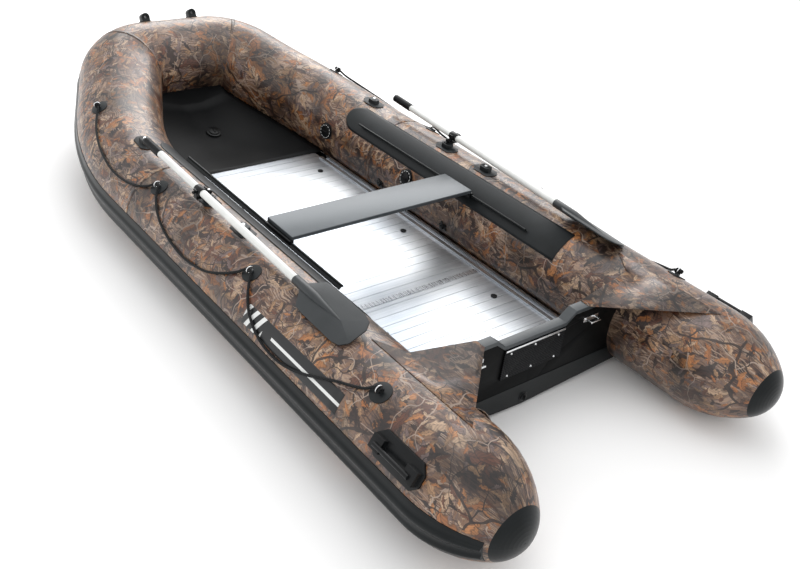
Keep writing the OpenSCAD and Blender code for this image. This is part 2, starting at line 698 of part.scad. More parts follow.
// ---- seat beads and bench --------------------------------------------
track_a = [108, 150];
track_y = [395, 2059];
track_t = 2;
bead_a = 137;
bead_r = 5.5;
flap_len = 24;
track_steps = 6;
function track_arc(s, a0, a1, r) = [for (i = [0 : track_steps])
    on_station(s, r / cos((a1 - a0) / track_steps / 2), a0 + (a1 - a0) * i / track_steps)];
function track_ring(s, a0, a1, gap) = concat(
    track_arc(s, a0, a1, tube_r + gap), reversed(track_arc(s, a0, a1, tube_r + gap + track_t)));
track_mid_a = (track_a[0] + track_a[1]) / 2;
track_half_a = (track_a[1] - track_a[0]) / 2;
track_round = 100;
module seat_track() {
    straight = [for (y = [track_y[0], chamber_y, rise_y, curve_y]) station(y)];
    loft(concat(
        [for (s = straight) track_ring(s, track_a[0], track_a[1], facet_gap)],
        [for (t = [0 : 15 : 75]) let (h = max(4, track_half_a * cos(t)))
            track_ring(station(track_y[1] - track_round * (1 - sin(t))), track_mid_a - h, track_mid_a + h,
                facet_gap + 1.6)]), sheet = true);
}
module seat_tracks() { color("#3a4147") both_sides() seat_track(); }

module seat_beads() {
    color("#101214") both_sides() translate([tube_x, bead_y + bead_len, tube_r]) rotate([90, 0, 0])
        linear_extrude(bead_len) rotate(bead_a) {
            translate([tube_r + facet_gap + track_t + 1, -1]) square([flap_len - track_t, 2]);
            translate([tube_r + flap_len, 0]) circle(r = bead_r);
        }
}
bead_x = tube_x + (tube_r + flap_len) * cos(bead_a);
bead_z = tube_r + (tube_r + flap_len) * sin(bead_a);
rail_half = 12;
rail_top_z = bead_z + rail_half - 1;
module bench_board() {
    color("#a9b0b6") translate([-bench_len / 2, bench_y - bench_w / 2, rail_top_z])
        cube([bench_len, bench_w, bench_t]);
}
module bench_rails() {
    color("#1c2022") both_sides() translate([0, bench_y + bench_w / 2, 0]) rotate([90, 0, 0])
        linear_extrude(bench_w) difference() {
            translate([bead_x - rail_half, bead_z - rail_half + 1]) square(2 * rail_half - 2);
            translate([bead_x, bead_z]) circle(r = bead_r + run_gap);
            translate([bead_x, bead_z]) rotate(bead_a + 180) translate([0, -2]) square([30, 4]);
        }
}

// ---- oars -------------------------------------------------------------
pad_top = 24;
pad_block = [44, 60];
pad_in = 6;                                     // the pads lie this far inboard of the tube's top
stud_r = 5;
oarlock_y = pad_ys[1];
tube_top_z = 2 * tube_r;
oar_out = 40;                                   // the oar lies this far outboard of its stud
collar_r = shaft_d / 2 + 4;
fork_t = 4.5;
fork_z = tube_top_z + pad_top + 0.5;
oar_z = fork_z + fork_t + collar_r + 4;
collar_len = 50;
ear_gap = 1;
ear_t = 4;
trunnion_r = 5;
nut_r = 7;
ear_end = collar_r + ear_gap + ear_t;

module oar_pads() {
    color("#3f474c") both_sides() for (i = [0 : 2]) on_tube(station(pad_ys[i]), 90) difference() {
        union() {
            patch(3, i == 2 ? 2.4 : facet_gap) translate([-pad_in, 0]) long_hexagon(140, 78, 26);
            translate([-pad_in, 0, 3]) linear_extrude(pad_top - 3)
                long_hexagon(pad_block.y, pad_block.x, 10);
        }
        translate([-pad_in, 0, 6]) cylinder(r = stud_r + seat_gap, h = pad_top);
    }
}
// A long stud carries the oarlock; the other two pads have short spare studs.
module pad_studs() {
    color("#dfe3e5") both_sides() for (i = [0 : 2]) on_tube(station(pad_ys[i]), 90)
        translate([-pad_in, 0, 0]) {
        translate([0, 0, 6.3]) cylinder(r = stud_r, h = (i == 1 ? pad_top + 30 : pad_top + 2) - 6.3);
        if (i != 1) translate([0, 0, pad_top + 2]) cylinder(r1 = 9, r2 = 6, h = 6);
    }
}

function dip_at(yaw) = oar_dip - (yaw > 0 ? starboard_dip_less : 0);
// Turns children about the oarlock stud, then dips them about the trunnions.
module stowed(yaw, dip) {
    translate([tube_x - pad_in, oarlock_y, 0]) rotate(-yaw) translate([oar_out, 0, oar_z])
        rotate([dip, 0, 0]) children();
}
module oarlock(yaw) {
    ear_x = collar_r + ear_gap;
    stowed(yaw, 0) difference() {
        union() {
            translate([-oar_out - 13, -15, fork_z - oar_z]) cube([oar_out + 13 + ear_x + ear_t, 30, fork_t]);
            for (x = [-ear_x - ear_t, ear_x]) translate([x, -13, fork_z - oar_z])
                cube([ear_t, 26, oar_z - fork_z + 13]);
        }
        translate([-oar_out, 0, fork_z - oar_z - 1]) cylinder(r = stud_r + run_gap, h = fork_t + 2);
        translate([-60, 0, 0]) rotate([0, 90, 0]) cylinder(r = trunnion_r + run_gap, h = 120);
    }
}
module port_oarlock() { color("#1a1d1f") mirror([1, 0, 0]) oarlock(0); }
module starboard_oarlock() { color("#1a1d1f") oarlock(starboard_yaw); }

module oar_collar(yaw) {
    stowed(yaw, dip_at(yaw)) difference() {
        union() {
            rotate([90, 0, 0]) cylinder(r = collar_r, h = collar_len, center = true);
            translate([-ear_end, 0, 0]) rotate([0, 90, 0]) cylinder(r = trunnion_r, h = 2 * ear_end + nut_r);
            translate([ear_end + nut_r + seat_gap, 0, 0]) sphere(r = nut_r);
        }
        rotate([90, 0, 0]) cylinder(r = shaft_d / 2, h = collar_len + 2, center = true);
    }
}
module port_oar_collar() { color("#1f2325") mirror([1, 0, 0]) oar_collar(0); }
module starboard_oar_collar() { color("#1f2325") oar_collar(starboard_yaw); }

socket_len = 60;
shaft_outboard = oar_outboard - blade_len - socket_len + 20;
module oar_shaft(yaw) {
    stowed(yaw, dip_at(yaw)) translate([0, oar_inboard - 6, 0]) rotate([90, 0, 0])
        cylinder(r = shaft_d / 2, h = oar_inboard - 6 + shaft_outboard);
}
module port_oar_shaft() { color("#e4e6e4") mirror([1, 0, 0]) oar_shaft(0); }
module starboard_oar_shaft() { color("#e4e6e4") oar_shaft(starboard_yaw); }

grip_wall = 3;
module oar_grip(yaw) {
    stowed(yaw, dip_at(yaw)) difference() {
        translate([0, oar_inboard, 0]) rotate([90, 0, 0])
            cylinder(r = shaft_d / 2 + grip_wall, h = grip_len);
        translate([0, oar_inboard - 6, 0]) rotate([90, 0, 0]) cylinder(r = shaft_d / 2, h = grip_len);
    }
}
module port_oar_grip() { color("#202427") mirror([1, 0, 0]) oar_grip(0); }
module starboard_oar_grip() { color("#202427") oar_grip(starboard_yaw); }

blade_t = 5;
socket_wall = 3;
module blade_outline() {
    tip = -oar_outboard;
    root = tip + blade_len;
    w = blade_w / 2;
    polygon([[-20, root + 6], [20, root + 6], [w - 4, root - 50], [w, root - 90],
        [w, tip + 60], [w - 10, tip + 22], [w - 40, tip],
        [40 - w, tip], [10 - w, tip + 22], [-w, tip + 60],
        [-w, root - 90], [4 - w, root - 50]]);
}
module oar_blade(yaw) {
    socket_r = shaft_d / 2 + socket_wall;
    root = -oar_outboard + blade_len;
    stowed(yaw, dip_at(yaw)) rotate([0, blade_tilt, 0]) difference() {
        union() {
            translate([0, 0, -blade_t / 2]) linear_extrude(blade_t) blade_outline();
            translate([0, root + socket_len, 0]) rotate([90, 0, 0])
                cylinder(r = socket_r, h = socket_len + 70);
            translate([0, root - 70, 0]) rotate([90, 0, 0])
                cylinder(r1 = socket_r, r2 = 3, h = 170, $fn = 32);
        }
        translate([0, root + socket_len + 1, 0]) rotate([90, 0, 0])
            cylinder(r = shaft_d / 2 + seat_gap, h = root + socket_len + 1 + shaft_outboard + 1);
    }
}
module port_oar_blade() { color("#4a5054") mirror([1, 0, 0]) oar_blade(0); }
module starboard_oar_blade() { color("#4a5054") oar_blade(starboard_yaw); }

knob_r = 12.8;
module knob() {
    translate([tube_x - pad_in, oarlock_y, fork_z + fork_t + seat_gap]) difference() {
        union() {
            cylinder(r = 9, h = 22);
            for (i = [0 : 4]) rotate(72 * i) translate([6, -3.5, 8]) cube([knob_r - 6.5, 7, 13]);
        }
        translate([0, 0, -1]) cylinder(r = stud_r + run_gap, h = 40);
    }
}
module port_knob() { color("#121416") mirror([1, 0, 0]) knob(); }
module starboard_knob() { color("#121416") knob(); }

// ---- inflation valves --------------------------------------------------
valve_y = 1418;
valve_a = 163;
bow_valve_y = 2152;
bow_valve_a = 172;
keel_valve_y = 2640;
valve_r = 43;
valve_barrel_r = 30;
valve_depth = 36;
valve_bore_r = 22;
valve_face = 9;
module valve_body(depth) {
    patch(2, facet_gap) difference() {
        circle(r = valve_r + 3);
        circle(r = valve_barrel_r + seat_gap);
    }
    difference() {
        union() {
            translate([0, 0, -depth]) cylinder(r = valve_barrel_r, h = depth + valve_face);
            translate([0, 0, valve_face - 5]) cylinder(r = valve_r, h = 5);
        }
        translate([0, 0, -depth + 3]) cylinder(r = valve_bore_r, h = depth + valve_face);
    }
}
module valve_cap() {
    translate([0, 0, valve_face + seat_gap]) {
        cylinder(r = valve_bore_r + 7, h = 5);
        translate([-3, -16, 4]) cube([6, 32, 7]);
    }
    translate([0, 0, valve_face - 4.5]) cylinder(r = valve_bore_r - run_gap, h = 5);
}
module at_keel_valve() {
    rise = apron_mid(keel_valve_y + 50) - apron_mid(keel_valve_y - 50);
    translate(apron_mid(keel_valve_y)) rotate([atan2(rise.z, rise.y), 0, 0]) translate([0, 0, 1]) children();
}
module at_bow_valve() { on_tube(station(bow_valve_y), bow_valve_a) translate([0, 0, 2.2]) children(); }
module valve_bodies() {
    color("#111315") {
        both_sides() on_tube(station(valve_y), valve_a) valve_body(valve_depth);
        at_bow_valve() valve_body(0);
        at_keel_valve() difference() {
            cylinder(r = valve_r, h = valve_face);
            translate([0, 0, 3]) cylinder(r = valve_bore_r, h = valve_face);
        }
    }
}
module port_valve_cap() { color("#0d0f10") mirror([1, 0, 0]) on_tube(station(valve_y), valve_a) valve_cap(); }
module starboard_valve_cap() { color("#0d0f10") on_tube(station(valve_y), valve_a) valve_cap(); }
module bow_valve_cap() { color("#0d0f10") at_bow_valve() valve_cap(); }
module keel_valve_cap() { color("#0d0f10") at_keel_valve() valve_cap(); }

translate([0, -mid_y, 0]) {
    port_tube();
    starboard_tube();
    bow_tube();
    chamber_baffles();
    cone_caps();
    port_strake();
    starboard_strake();
    bottom_skin();
    keel_tube();
    bow_apron();
    stern_floor_panel();
    middle_floor_panel();
    bow_floor_panel();
    floor_joiners();
    port_stringer();
    starboard_stringer();
    floor_plugs();
    transom_board();
    transom_cap();
    motor_plates();
    plate_strip();
    transom_screws();
    transom_skirt();
    drain_body();
    drain_plug();
    tow_eyes();
    corner_gussets();
    line_patches();
    line_rings();
    port_grab_line();
    starboard_grab_line();
    port_carry_handle();
    starboard_carry_handle();
    strap_handles();
    bow_loops();
    tie_downs();
    seat_tracks();
    seat_beads();
    bench_board();
    bench_rails();
    oar_pads();
    pad_studs();
    port_oarlock();
    starboard_oarlock();
    port_knob();
    starboard_knob();
    port_oar_collar();
    starboard_oar_collar();
    port_oar_shaft();
    starboard_oar_shaft();
    port_oar_grip();
    starboard_oar_grip();
    port_oar_blade();
    starboard_oar_blade();
    valve_bodies();
    port_valve_cap();
    starboard_valve_cap();
    bow_valve_cap();
    keel_valve_cap();
}
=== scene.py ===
# %% [markdown]
# # An inflatable dinghy around its CAD frame
# The boat's hard parts and rough soft parts come already packed in model.glb.
# This lesson loads them as a fixed frame, then gives every surface the form and
# finish of the real thing: printed PVC tubes, rubber mouldings, bright
# aluminium, braided rope.

# %% Load the frame
import math
import bmesh
import bpy
from mathutils import Matrix, Vector
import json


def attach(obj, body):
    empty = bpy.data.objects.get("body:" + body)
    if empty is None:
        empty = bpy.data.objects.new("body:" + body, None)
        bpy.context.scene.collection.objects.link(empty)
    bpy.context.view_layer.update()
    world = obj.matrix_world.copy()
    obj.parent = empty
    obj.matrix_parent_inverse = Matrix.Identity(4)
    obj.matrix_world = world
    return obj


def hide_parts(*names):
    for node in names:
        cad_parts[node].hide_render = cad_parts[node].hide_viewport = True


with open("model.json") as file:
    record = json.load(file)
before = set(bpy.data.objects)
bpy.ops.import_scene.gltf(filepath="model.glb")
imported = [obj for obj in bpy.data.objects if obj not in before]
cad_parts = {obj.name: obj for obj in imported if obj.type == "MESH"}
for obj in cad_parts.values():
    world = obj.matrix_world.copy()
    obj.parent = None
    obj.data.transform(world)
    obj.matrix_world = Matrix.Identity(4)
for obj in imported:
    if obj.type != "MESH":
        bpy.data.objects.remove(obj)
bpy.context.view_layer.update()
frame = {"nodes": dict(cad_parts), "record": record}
body_of_node = {n: b for b, nodes in frame["record"]["behaviour"]["bodies"].items() for n in nodes}

# %% [markdown]
# The camera comes first, so that every piece is judged from the same place. It
# stands off the port quarter, a little above head height, and is turned
# slightly about its own line of sight.

# %% Camera
camera_data = bpy.data.cameras.new("camera")
camera_data.sensor_width = 36
camera_data.lens = 42.125
camera = bpy.data.objects.new("camera", camera_data)
bpy.context.scene.collection.objects.link(camera)
CAMERA_AT = Vector((-2.40498, -3.17924, 2.36056))
CAMERA_RIGHT = Vector((0.786422, -0.607808, 0.110048))
CAMERA_UP = Vector((0.250954, 0.477189, 0.842207))
camera.matrix_world = Matrix.Translation(CAMERA_AT) @ Matrix((
    CAMERA_RIGHT, CAMERA_UP, CAMERA_RIGHT.cross(CAMERA_UP))).transposed().to_4x4()
bpy.context.scene.camera = camera
print("camera distance to the middle:", round(CAMERA_AT.length, 2), "m")

# %% [markdown]
# Almost every piece lies on the tubes, so the tubes' centre line is the ruler
# for the whole boat. A place is a matrix: its X axis points outboard, its Y
# axis along the tube towards the bow, its Z axis up and its origin is on the
# centre line. Distances along the boat are measured from the transom's rear
# face. A point on the tube then needs only a radius and an angle, with 0
# outboard, 90 on top and 180 inboard.

# %% The tubes' centre line
TRANSOM_TO_ORIGIN = 1.29888
TUBE_R = 0.22
TUBE_X = 0.685
CHAMBER_Y, RISE_Y, CURVE_Y = 1.735, 1.9, 1.942
CURVE_R, CURVE_TURN = 1.616, math.radians(25)
SHOULDER, CORNER_R = 0.297, 0.25
CONE_Y, CONE_LEN, CONE_END_R = -0.34, 0.285, 0.11
BOW_RISE, RISE_POWER = 0.216, 1.8
curve_end = (TUBE_X - CURVE_R * (1 - math.cos(CURVE_TURN)), CURVE_Y + CURVE_R * math.sin(CURVE_TURN))
corner_start = (curve_end[0] - SHOULDER * math.sin(CURVE_TURN), curve_end[1] + SHOULDER * math.cos(CURVE_TURN))
corner_mid = (corner_start[0] - CORNER_R * math.cos(CURVE_TURN), corner_start[1] - CORNER_R * math.sin(CURVE_TURN))
BOW_Y = corner_mid[1] + CORNER_R
cone_fall = TUBE_R - CONE_END_R
cone_arc = (CONE_LEN ** 2 + cone_fall ** 2) / (2 * cone_fall)


def height_at(y):
    return TUBE_R + BOW_RISE * max(0, (y - RISE_Y) / (BOW_Y - RISE_Y)) ** RISE_POWER


def place_at(x, y, turn):
    """The place at a point of the centre line that has turned inwards by an angle."""
    slope = (height_at(y + 1e-4) - height_at(y - 1e-4)) / 2e-4
    out = Vector((math.cos(turn), math.sin(turn), 0))
    along = Vector((-math.sin(turn), math.cos(turn), slope * math.cos(turn))).normalized()
    up = out.cross(along)
    at = Vector((x, y - TRANSOM_TO_ORIGIN, height_at(y)))
    return Matrix((out, along, up)).transposed().to_4x4() + Matrix(
        [[0, 0, 0, at[0]], [0, 0, 0, at[1]], [0, 0, 0, at[2]], [0, 0, 0, 0]])


def place(y):
    """The place beside a distance along the boat, on the starboard side."""
    turn = math.asin(max(0, y - CURVE_Y) / CURVE_R)
    return place_at(TUBE_X - CURVE_R * (1 - math.cos(turn)), y, turn)


def tube_point(at, radius, degrees):
    angle = math.radians(degrees)
    return at @ Vector((radius * math.cos(angle), 0, radius * math.sin(angle)))


def radius_at(y):
    return TUBE_R if y >= CONE_Y else TUBE_R - cone_arc + math.sqrt(cone_arc ** 2 - (CONE_Y - y) ** 2)


def bow_half(steps=12, shoulder_steps=4, corner_steps=16):
    """Places from the chamber wall round to the middle of the bow, with each one's turn."""
    turns = [0.0, 0.0] + [CURVE_TURN * i / steps for i in range(steps + 1)]
    found = [place(CHAMBER_Y), place(RISE_Y)] + [place(CURVE_Y + CURVE_R * math.sin(t)) for t in turns[2:]]
    for i in range(1, shoulder_steps):
        step = i / shoulder_steps
        found.append(place_at(curve_end[0] + step * (corner_start[0] - curve_end[0]),
                              curve_end[1] + step * (corner_start[1] - curve_end[1]), CURVE_TURN))
        turns.append(CURVE_TURN)
    for i in range(corner_steps + 1):
        turn = CURVE_TURN + (math.pi / 2 - CURVE_TURN) * i / corner_steps
        found.append(place_at(corner_mid[0] + CORNER_R * math.cos(turn),
                              corner_mid[1] + CORNER_R * math.sin(turn), turn))
        turns.append(turn)
    return found, turns


def to_port(point):
    return Vector((-point[0], point[1], point[2]))


print("bow centre line at y =", round(BOW_Y, 3), "z =", round(height_at(BOW_Y), 3))

# %% [markdown]
# A swept skin is the main tool of this lesson. The first ring starts as a
# circle or a line of points, and each next ring is extruded from the last and
# moved into place. Each face also gets its place on a flat map in metres, so
# that a printed pattern keeps its size on the curved skin.

# %% Swept skins
def swept(rings, mapped, closed=True, capped=False):
    """A bmesh through rings of points. mapped(segment, point, index) gives a flat place in metres."""
    bm = bmesh.new()
    count = len(rings[0])
    if closed:
        loop = bmesh.ops.create_circle(bm, cap_ends=False, radius=1, segments=count)["verts"]
    else:
        loop = [bm.verts.new(p) for p in rings[0]]
        for a, b in zip(loop, loop[1:]):
            bm.edges.new((a, b))
    for vert, point in zip(loop, rings[0]):
        vert.co = point
    pairs = [(i, (i + 1) % count) for i in range(count if closed else count - 1)]
    index_of = {vert: i for i, vert in enumerate(loop)}
    uv_layer = bm.loops.layers.uv.new("UVMap")
    first = [bm.edges.get((loop[a], loop[b])) for a, b in pairs]
    edges = first
    for segment, ring in enumerate(rings[1:]):
        made = bmesh.ops.extrude_edge_only(bm, edges=edges)["geom"]
        new = {g for g in made if isinstance(g, bmesh.types.BMVert)}
        loop = [next(e.other_vert(v) for e in v.link_edges if e.other_vert(v) in new) for v in loop]
        for i, (vert, point) in enumerate(zip(loop, ring)):
            vert.co = point
            index_of[vert] = i
        edges = [bm.edges.get((loop[a], loop[b])) for a, b in pairs]
        for face in {f for f in made if isinstance(f, bmesh.types.BMFace)}:
            wraps = closed and {0, count - 1} <= {index_of[lp.vert] for lp in face.loops}
            for lp in face.loops:
                i = index_of[lp.vert]
                lp[uv_layer].uv = mapped(segment, lp.vert.co, count if wraps and i == 0 else i)
    if capped:
        bmesh.ops.holes_fill(bm, edges=first + edges, sides=0)
    bmesh.ops.recalc_face_normals(bm, faces=bm.faces)
    return bm


def set_piece(name, bm, finish, body="hull", stands_for=(), sharp=35, slot=None):
    """Turns a bmesh into a piece of the boat that rides on a body."""
    mesh = bpy.data.meshes.new(name)
    bm.to_mesh(mesh)
    bm.free()
    mesh.shade_smooth()
    mesh.set_sharp_from_angle(angle=math.radians(sharp))
    mesh.materials.append(finish)
    piece = bpy.data.objects.new(name, mesh)
    bpy.context.scene.collection.objects.link(piece)
    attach(piece, body)
    if stands_for:
        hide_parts(*stands_for)
    return piece


# %% [markdown]
# Materials are small node networks. Three helpers keep them short: one adds a
# node and plugs its inputs, one does arithmetic, one turns a number into a
# colour. Numbers that are the same all over a surface are set on the shader.

# %% Material helpers
def finish_of(name, colour, roughness, metallic=0.0, coat=0.0, specular=0.5, sheen=0.0):
    material = bpy.data.materials.new(name)
    material.use_nodes = True
    shader = material.node_tree.nodes["Principled BSDF"]
    shader.inputs["Base Color"].default_value = (*colour, 1)
    shader.inputs["Roughness"].default_value = roughness
    shader.inputs["Metallic"].default_value = metallic
    shader.inputs["Coat Weight"].default_value = coat
    shader.inputs["Coat Roughness"].default_value = 0.25
    shader.inputs["Specular IOR Level"].default_value = specular
    shader.inputs["Sheen Weight"].default_value = sheen
    return material


def add(material, kind, inputs=None, **settings):
    made = material.node_tree.nodes.new("ShaderNode" + kind)
    for key, value in settings.items():
        setattr(made, key, value)
    for key, value in (inputs or {}).items():
        if isinstance(value, bpy.types.NodeSocket):
            material.node_tree.links.new(value, made.inputs[key])
        else:
            made.inputs[key].default_value = value
    return made


def calc(material, operation, *values):
    return add(material, "Math", dict(enumerate(values)), operation=operation).outputs[0]


def ramp(material, value, stops, interpolation="LINEAR"):
    made = add(material, "ValToRGB", {0: value})
    made.color_ramp.interpolation = interpolation
    while len(made.color_ramp.elements) < len(stops):
        made.color_ramp.elements.new(0.5)
    for element, (position, colour) in zip(made.color_ramp.elements, stops):
        element.position = position
        element.color = (*colour, 1) if hasattr(colour, "__len__") else (colour, colour, colour, 1)
    return made.outputs["Color"]


def mix(material, factor, a, b, mode="MIX"):
    made = add(material, "Mix", {0: factor}, data_type="RGBA", blend_type=mode)
    for socket, value in ((6, a), (7, b)):
        if isinstance(value, bpy.types.NodeSocket):
            material.node_tree.links.new(value, made.inputs[socket])
        else:
            made.inputs[socket].default_value = (*value, 1)
    return made.outputs[2]


def plug(material, socket, value):
    material.node_tree.links.new(value, material.node_tree.nodes["Principled BSDF"].inputs[socket])


def bump(material, height, strength, distance):
    made = add(material, "Bump", {"Height": height, "Strength": strength, "Distance": distance})
    plug(material, "Normal", made.outputs["Normal"])


def noise_of(material, vector, scale, detail=3.0, roughness=0.5, distortion=0.0, dimensions="3D"):
    return add(material, "TexNoise", {"Vector": vector, "Scale": scale, "Detail": detail,
               "Roughness": roughness, "Distortion": distortion}, noise_dimensions=dimensions)


def object_places(material):
    return add(material, "TexCoord").outputs["Object"]


# %% [markdown]
# The tubes are PVC cloth printed with a woodland pattern: leaves, twigs and
# bark in tan, rust and mauve grey. A painted image would be the usual way. Here
# the print is worked out instead: each layer of leaves is a Voronoi texture,
# where every cell holds one leaf that is turned by its own angle, has its own
# colour, and has a rib and veins. Three layers of falling size lie on a
# mottled ground, with thin twigs between them.

# %% Printed leaves
def warped_flat(material, flat, seed, scale, reach):
    """The flat map, moved by a seed and bent by a noise of some scale and reach."""
    moved = add(material, "Mapping", {"Vector": flat, "Location": (seed, seed * 0.7, 0)}).outputs[0]
    wobble = noise_of(material, moved, scale, 2, dimensions="2D").outputs["Color"]
    centred = add(material, "VectorMath", {0: wobble, 1: (0.5, 0.5, 0.5)}, operation="SUBTRACT").outputs[0]
    return add(material, "VectorMath", {0: centred, 1: (reach,) * 3, 2: moved}, operation="MULTIPLY_ADD").outputs[0]


def leaf_layer(material, flat, cell, seed, width, share):
    """Returns (mask, tone, shade) of a layer of leaves: one leaf to a cell, on a share of the cells."""
    warped = warped_flat(material, flat, seed, 1.3 / cell, cell * 0.5)
    cells = add(material, "TexVoronoi", {"Vector": warped, "Scale": 1 / cell, "Randomness": 0.9},
                voronoi_dimensions="2D")
    own = add(material, "SeparateColor", {0: cells.outputs["Color"]})
    local = add(material, "VectorMath", {0: warped, 1: cells.outputs["Position"]}, operation="SUBTRACT").outputs[0]
    turned = add(material, "VectorRotate", {"Vector": local, "Angle": calc(
        material, "MULTIPLY", own.outputs[0], 2 * math.pi)}, rotation_type="Z_AXIS").outputs[0]
    axes = add(material, "SeparateXYZ", {0: turned})
    along = calc(material, "DIVIDE", axes.outputs[0], cell * 0.62)
    across = calc(material, "DIVIDE", axes.outputs[1], cell * width)
    bowed = calc(material, "MULTIPLY_ADD", calc(material, "MULTIPLY", along, along), 0.35, across)
    side = calc(material, "ABSOLUTE", bowed)
    lobes = calc(material, "MULTIPLY_ADD", calc(material, "SINE", calc(
        material, "MULTIPLY_ADD", along, 17.0, calc(material, "MULTIPLY", side, 4.0))), 0.22, 0.95)
    outline = calc(material, "SUBTRACT", calc(material, "MULTIPLY", lobes, calc(
        material, "SUBTRACT", 1.0, calc(material, "POWER", calc(material, "ABSOLUTE", along), 1.5))), side)
    present = calc(material, "LESS_THAN", own.outputs[1], share)
    mask = calc(material, "MULTIPLY", present, calc(material, "MINIMUM", calc(
        material, "MAXIMUM", calc(material, "MULTIPLY", outline, 9.0), 0.0), 1.0))
    veins = calc(material, "SINE", calc(material, "MULTIPLY_ADD", along, 30.0, calc(
        material, "MULTIPLY", side, -15.0)))
    rib = calc(material, "GREATER_THAN", side, 0.08)
    half = calc(material, "GREATER_THAN", bowed, 0.0)
    edge = calc(material, "MINIMUM", calc(material, "MULTIPLY_ADD", outline, 2.2, 0.2), 1.0)
    shade = calc(material, "MULTIPLY", edge, calc(material, "MULTIPLY_ADD", half, 0.25, calc(
        material, "MULTIPLY_ADD", rib, 0.35, calc(material, "MULTIPLY_ADD", veins, 0.16, 0.42))))
    return mask, own.outputs[2], shade


def grass_layer(material, flat, seed, turn, scale):
    """Long thin strokes, as of dry grass and bark, that run one way and are broken up by a second noise."""
    bent = warped_flat(material, flat, seed, 6.0, 0.10)
    strokes = add(material, "Mapping", {"Vector": bent, "Scale": scale, "Rotation": (0, 0, turn)}).outputs[0]
    fine = noise_of(material, strokes, 1.0, 3, 0.6, dimensions="2D").outputs[0]
    where = noise_of(material, bent, 5.5, 2, dimensions="2D").outputs[0]
    return calc(material, "MULTIPLY", calc(material, "GREATER_THAN", fine, 0.56), calc(
        material, "GREATER_THAN", where, 0.5)), fine


def printed_cloth(name):
    material = finish_of(name, (0.2, 0.14, 0.1), 0.42, specular=0.5, coat=0.3)
    flat = add(material, "UVMap", uv_map="UVMap").outputs[0]
    mottle = noise_of(material, flat, 9.0, 6, 0.66, 0.8, "2D").outputs[0]
    colour = ramp(material, mottle, [(0.32, (0.010, 0.005, 0.005)), (0.42, (0.070, 0.032, 0.022)),
                                     (0.49, (0.200, 0.112, 0.066)), (0.56, (0.105, 0.066, 0.056)),
                                     (0.64, (0.330, 0.215, 0.145)), (0.76, (0.120, 0.085, 0.085))])
    for seed, turn, scale, tone in ((1.3, 0.9, (7, 120, 1), (0.028, 0.014, 0.011)),
                                    (4.6, -0.5, (9, 150, 1), (0.360, 0.260, 0.190)),
                                    (7.7, 2.0, (8, 130, 1), (0.055, 0.032, 0.024))):
        strokes, _ = grass_layer(material, flat, seed, turn, scale)
        colour = mix(material, calc(material, "MULTIPLY", strokes, 0.75), colour, tone)
    tones = [(0.0, (0.330, 0.120, 0.035)), (0.15, (0.330, 0.190, 0.100)), (0.32, (0.110, 0.036, 0.018)),
             (0.46, (0.170, 0.115, 0.105)), (0.58, (0.460, 0.310, 0.200)), (0.72, (0.400, 0.165, 0.055)),
             (0.84, (0.022, 0.010, 0.008))]
    for cell, seed, width, share in ((0.15, 3.1, 0.22, 0.55), (0.10, 8.4, 0.20, 0.6), (0.072, 5.7, 0.19, 0.6),
                                     (0.052, 1.9, 0.17, 0.55), (0.038, 6.6, 0.18, 0.45)):
        mask, tone, shade = leaf_layer(material, flat, cell, seed, width, share)
        leaf = mix(material, 1.0, ramp(material, tone, tones, "CONSTANT"), shade, "MULTIPLY")
        colour = mix(material, calc(material, "MULTIPLY", mask, 0.9), colour, leaf)
    for scale, seed, thick, twig in ((3.4, 2.0, 0.020, (0.018, 0.009, 0.007)),
                                     (6.5, 6.0, 0.014, (0.330, 0.250, 0.200)),
                                     (9.0, 9.0, 0.014, (0.014, 0.007, 0.006))):
        bent = warped_flat(material, flat, seed, 5.0, 0.16)
        gaps = add(material, "TexVoronoi", {"Vector": bent, "Scale": scale}, voronoi_dimensions="2D",
                   feature="DISTANCE_TO_EDGE").outputs["Distance"]
        broken = calc(material, "GREATER_THAN", noise_of(material, bent, 3.5, 1, dimensions="2D").outputs[0], 0.5)
        line = calc(material, "MULTIPLY", calc(material, "LESS_THAN", gaps, thick), broken)
        colour = mix(material, calc(material, "MULTIPLY", line, 0.9), colour, twig)
    cloud = noise_of(material, flat, 3.2, 3, 0.6, dimensions="2D").outputs[0]
    colour = mix(material, 0.7, colour, ramp(material, cloud, [(0.38, 0.16), (0.54, 1.0)]), "MULTIPLY")
    plug(material, "Base Color", colour)
    grain = noise_of(material, object_places(material), 900, 1).outputs[0]
    bump(material, grain, 0.08, 0.0004)
    return material


camo = printed_cloth("printed_pvc")
print("printed cloth nodes:", len(camo.node_tree.nodes))

# %% [markdown]
# The other finishes are plainer: each is a base colour with the slight
# unevenness the real surface shows. Brushed aluminium is a metal whose fine
# scratches all run one way, across the boat.

# %% Plain finishes
def uneven(name, dark, light, roughness, scale=9.0, grain=500.0, depth=0.0002, **more):
    """A finish whose colour drifts between two tones, with a fine grain."""
    material = finish_of(name, dark, roughness, **more)
    places = object_places(material)
    drift = noise_of(material, places, scale, 4, 0.6).outputs[0]
    plug(material, "Base Color", ramp(material, drift, [(0.35, dark), (0.68, light)]))
    fine = noise_of(material, places, grain, 2).outputs[0]
    plug(material, "Roughness", add(material, "MapRange", {
        "Value": drift, "To Min": roughness - 0.06, "To Max": roughness + 0.08}).outputs[0])
    bump(material, fine, 0.25, depth)
    return material


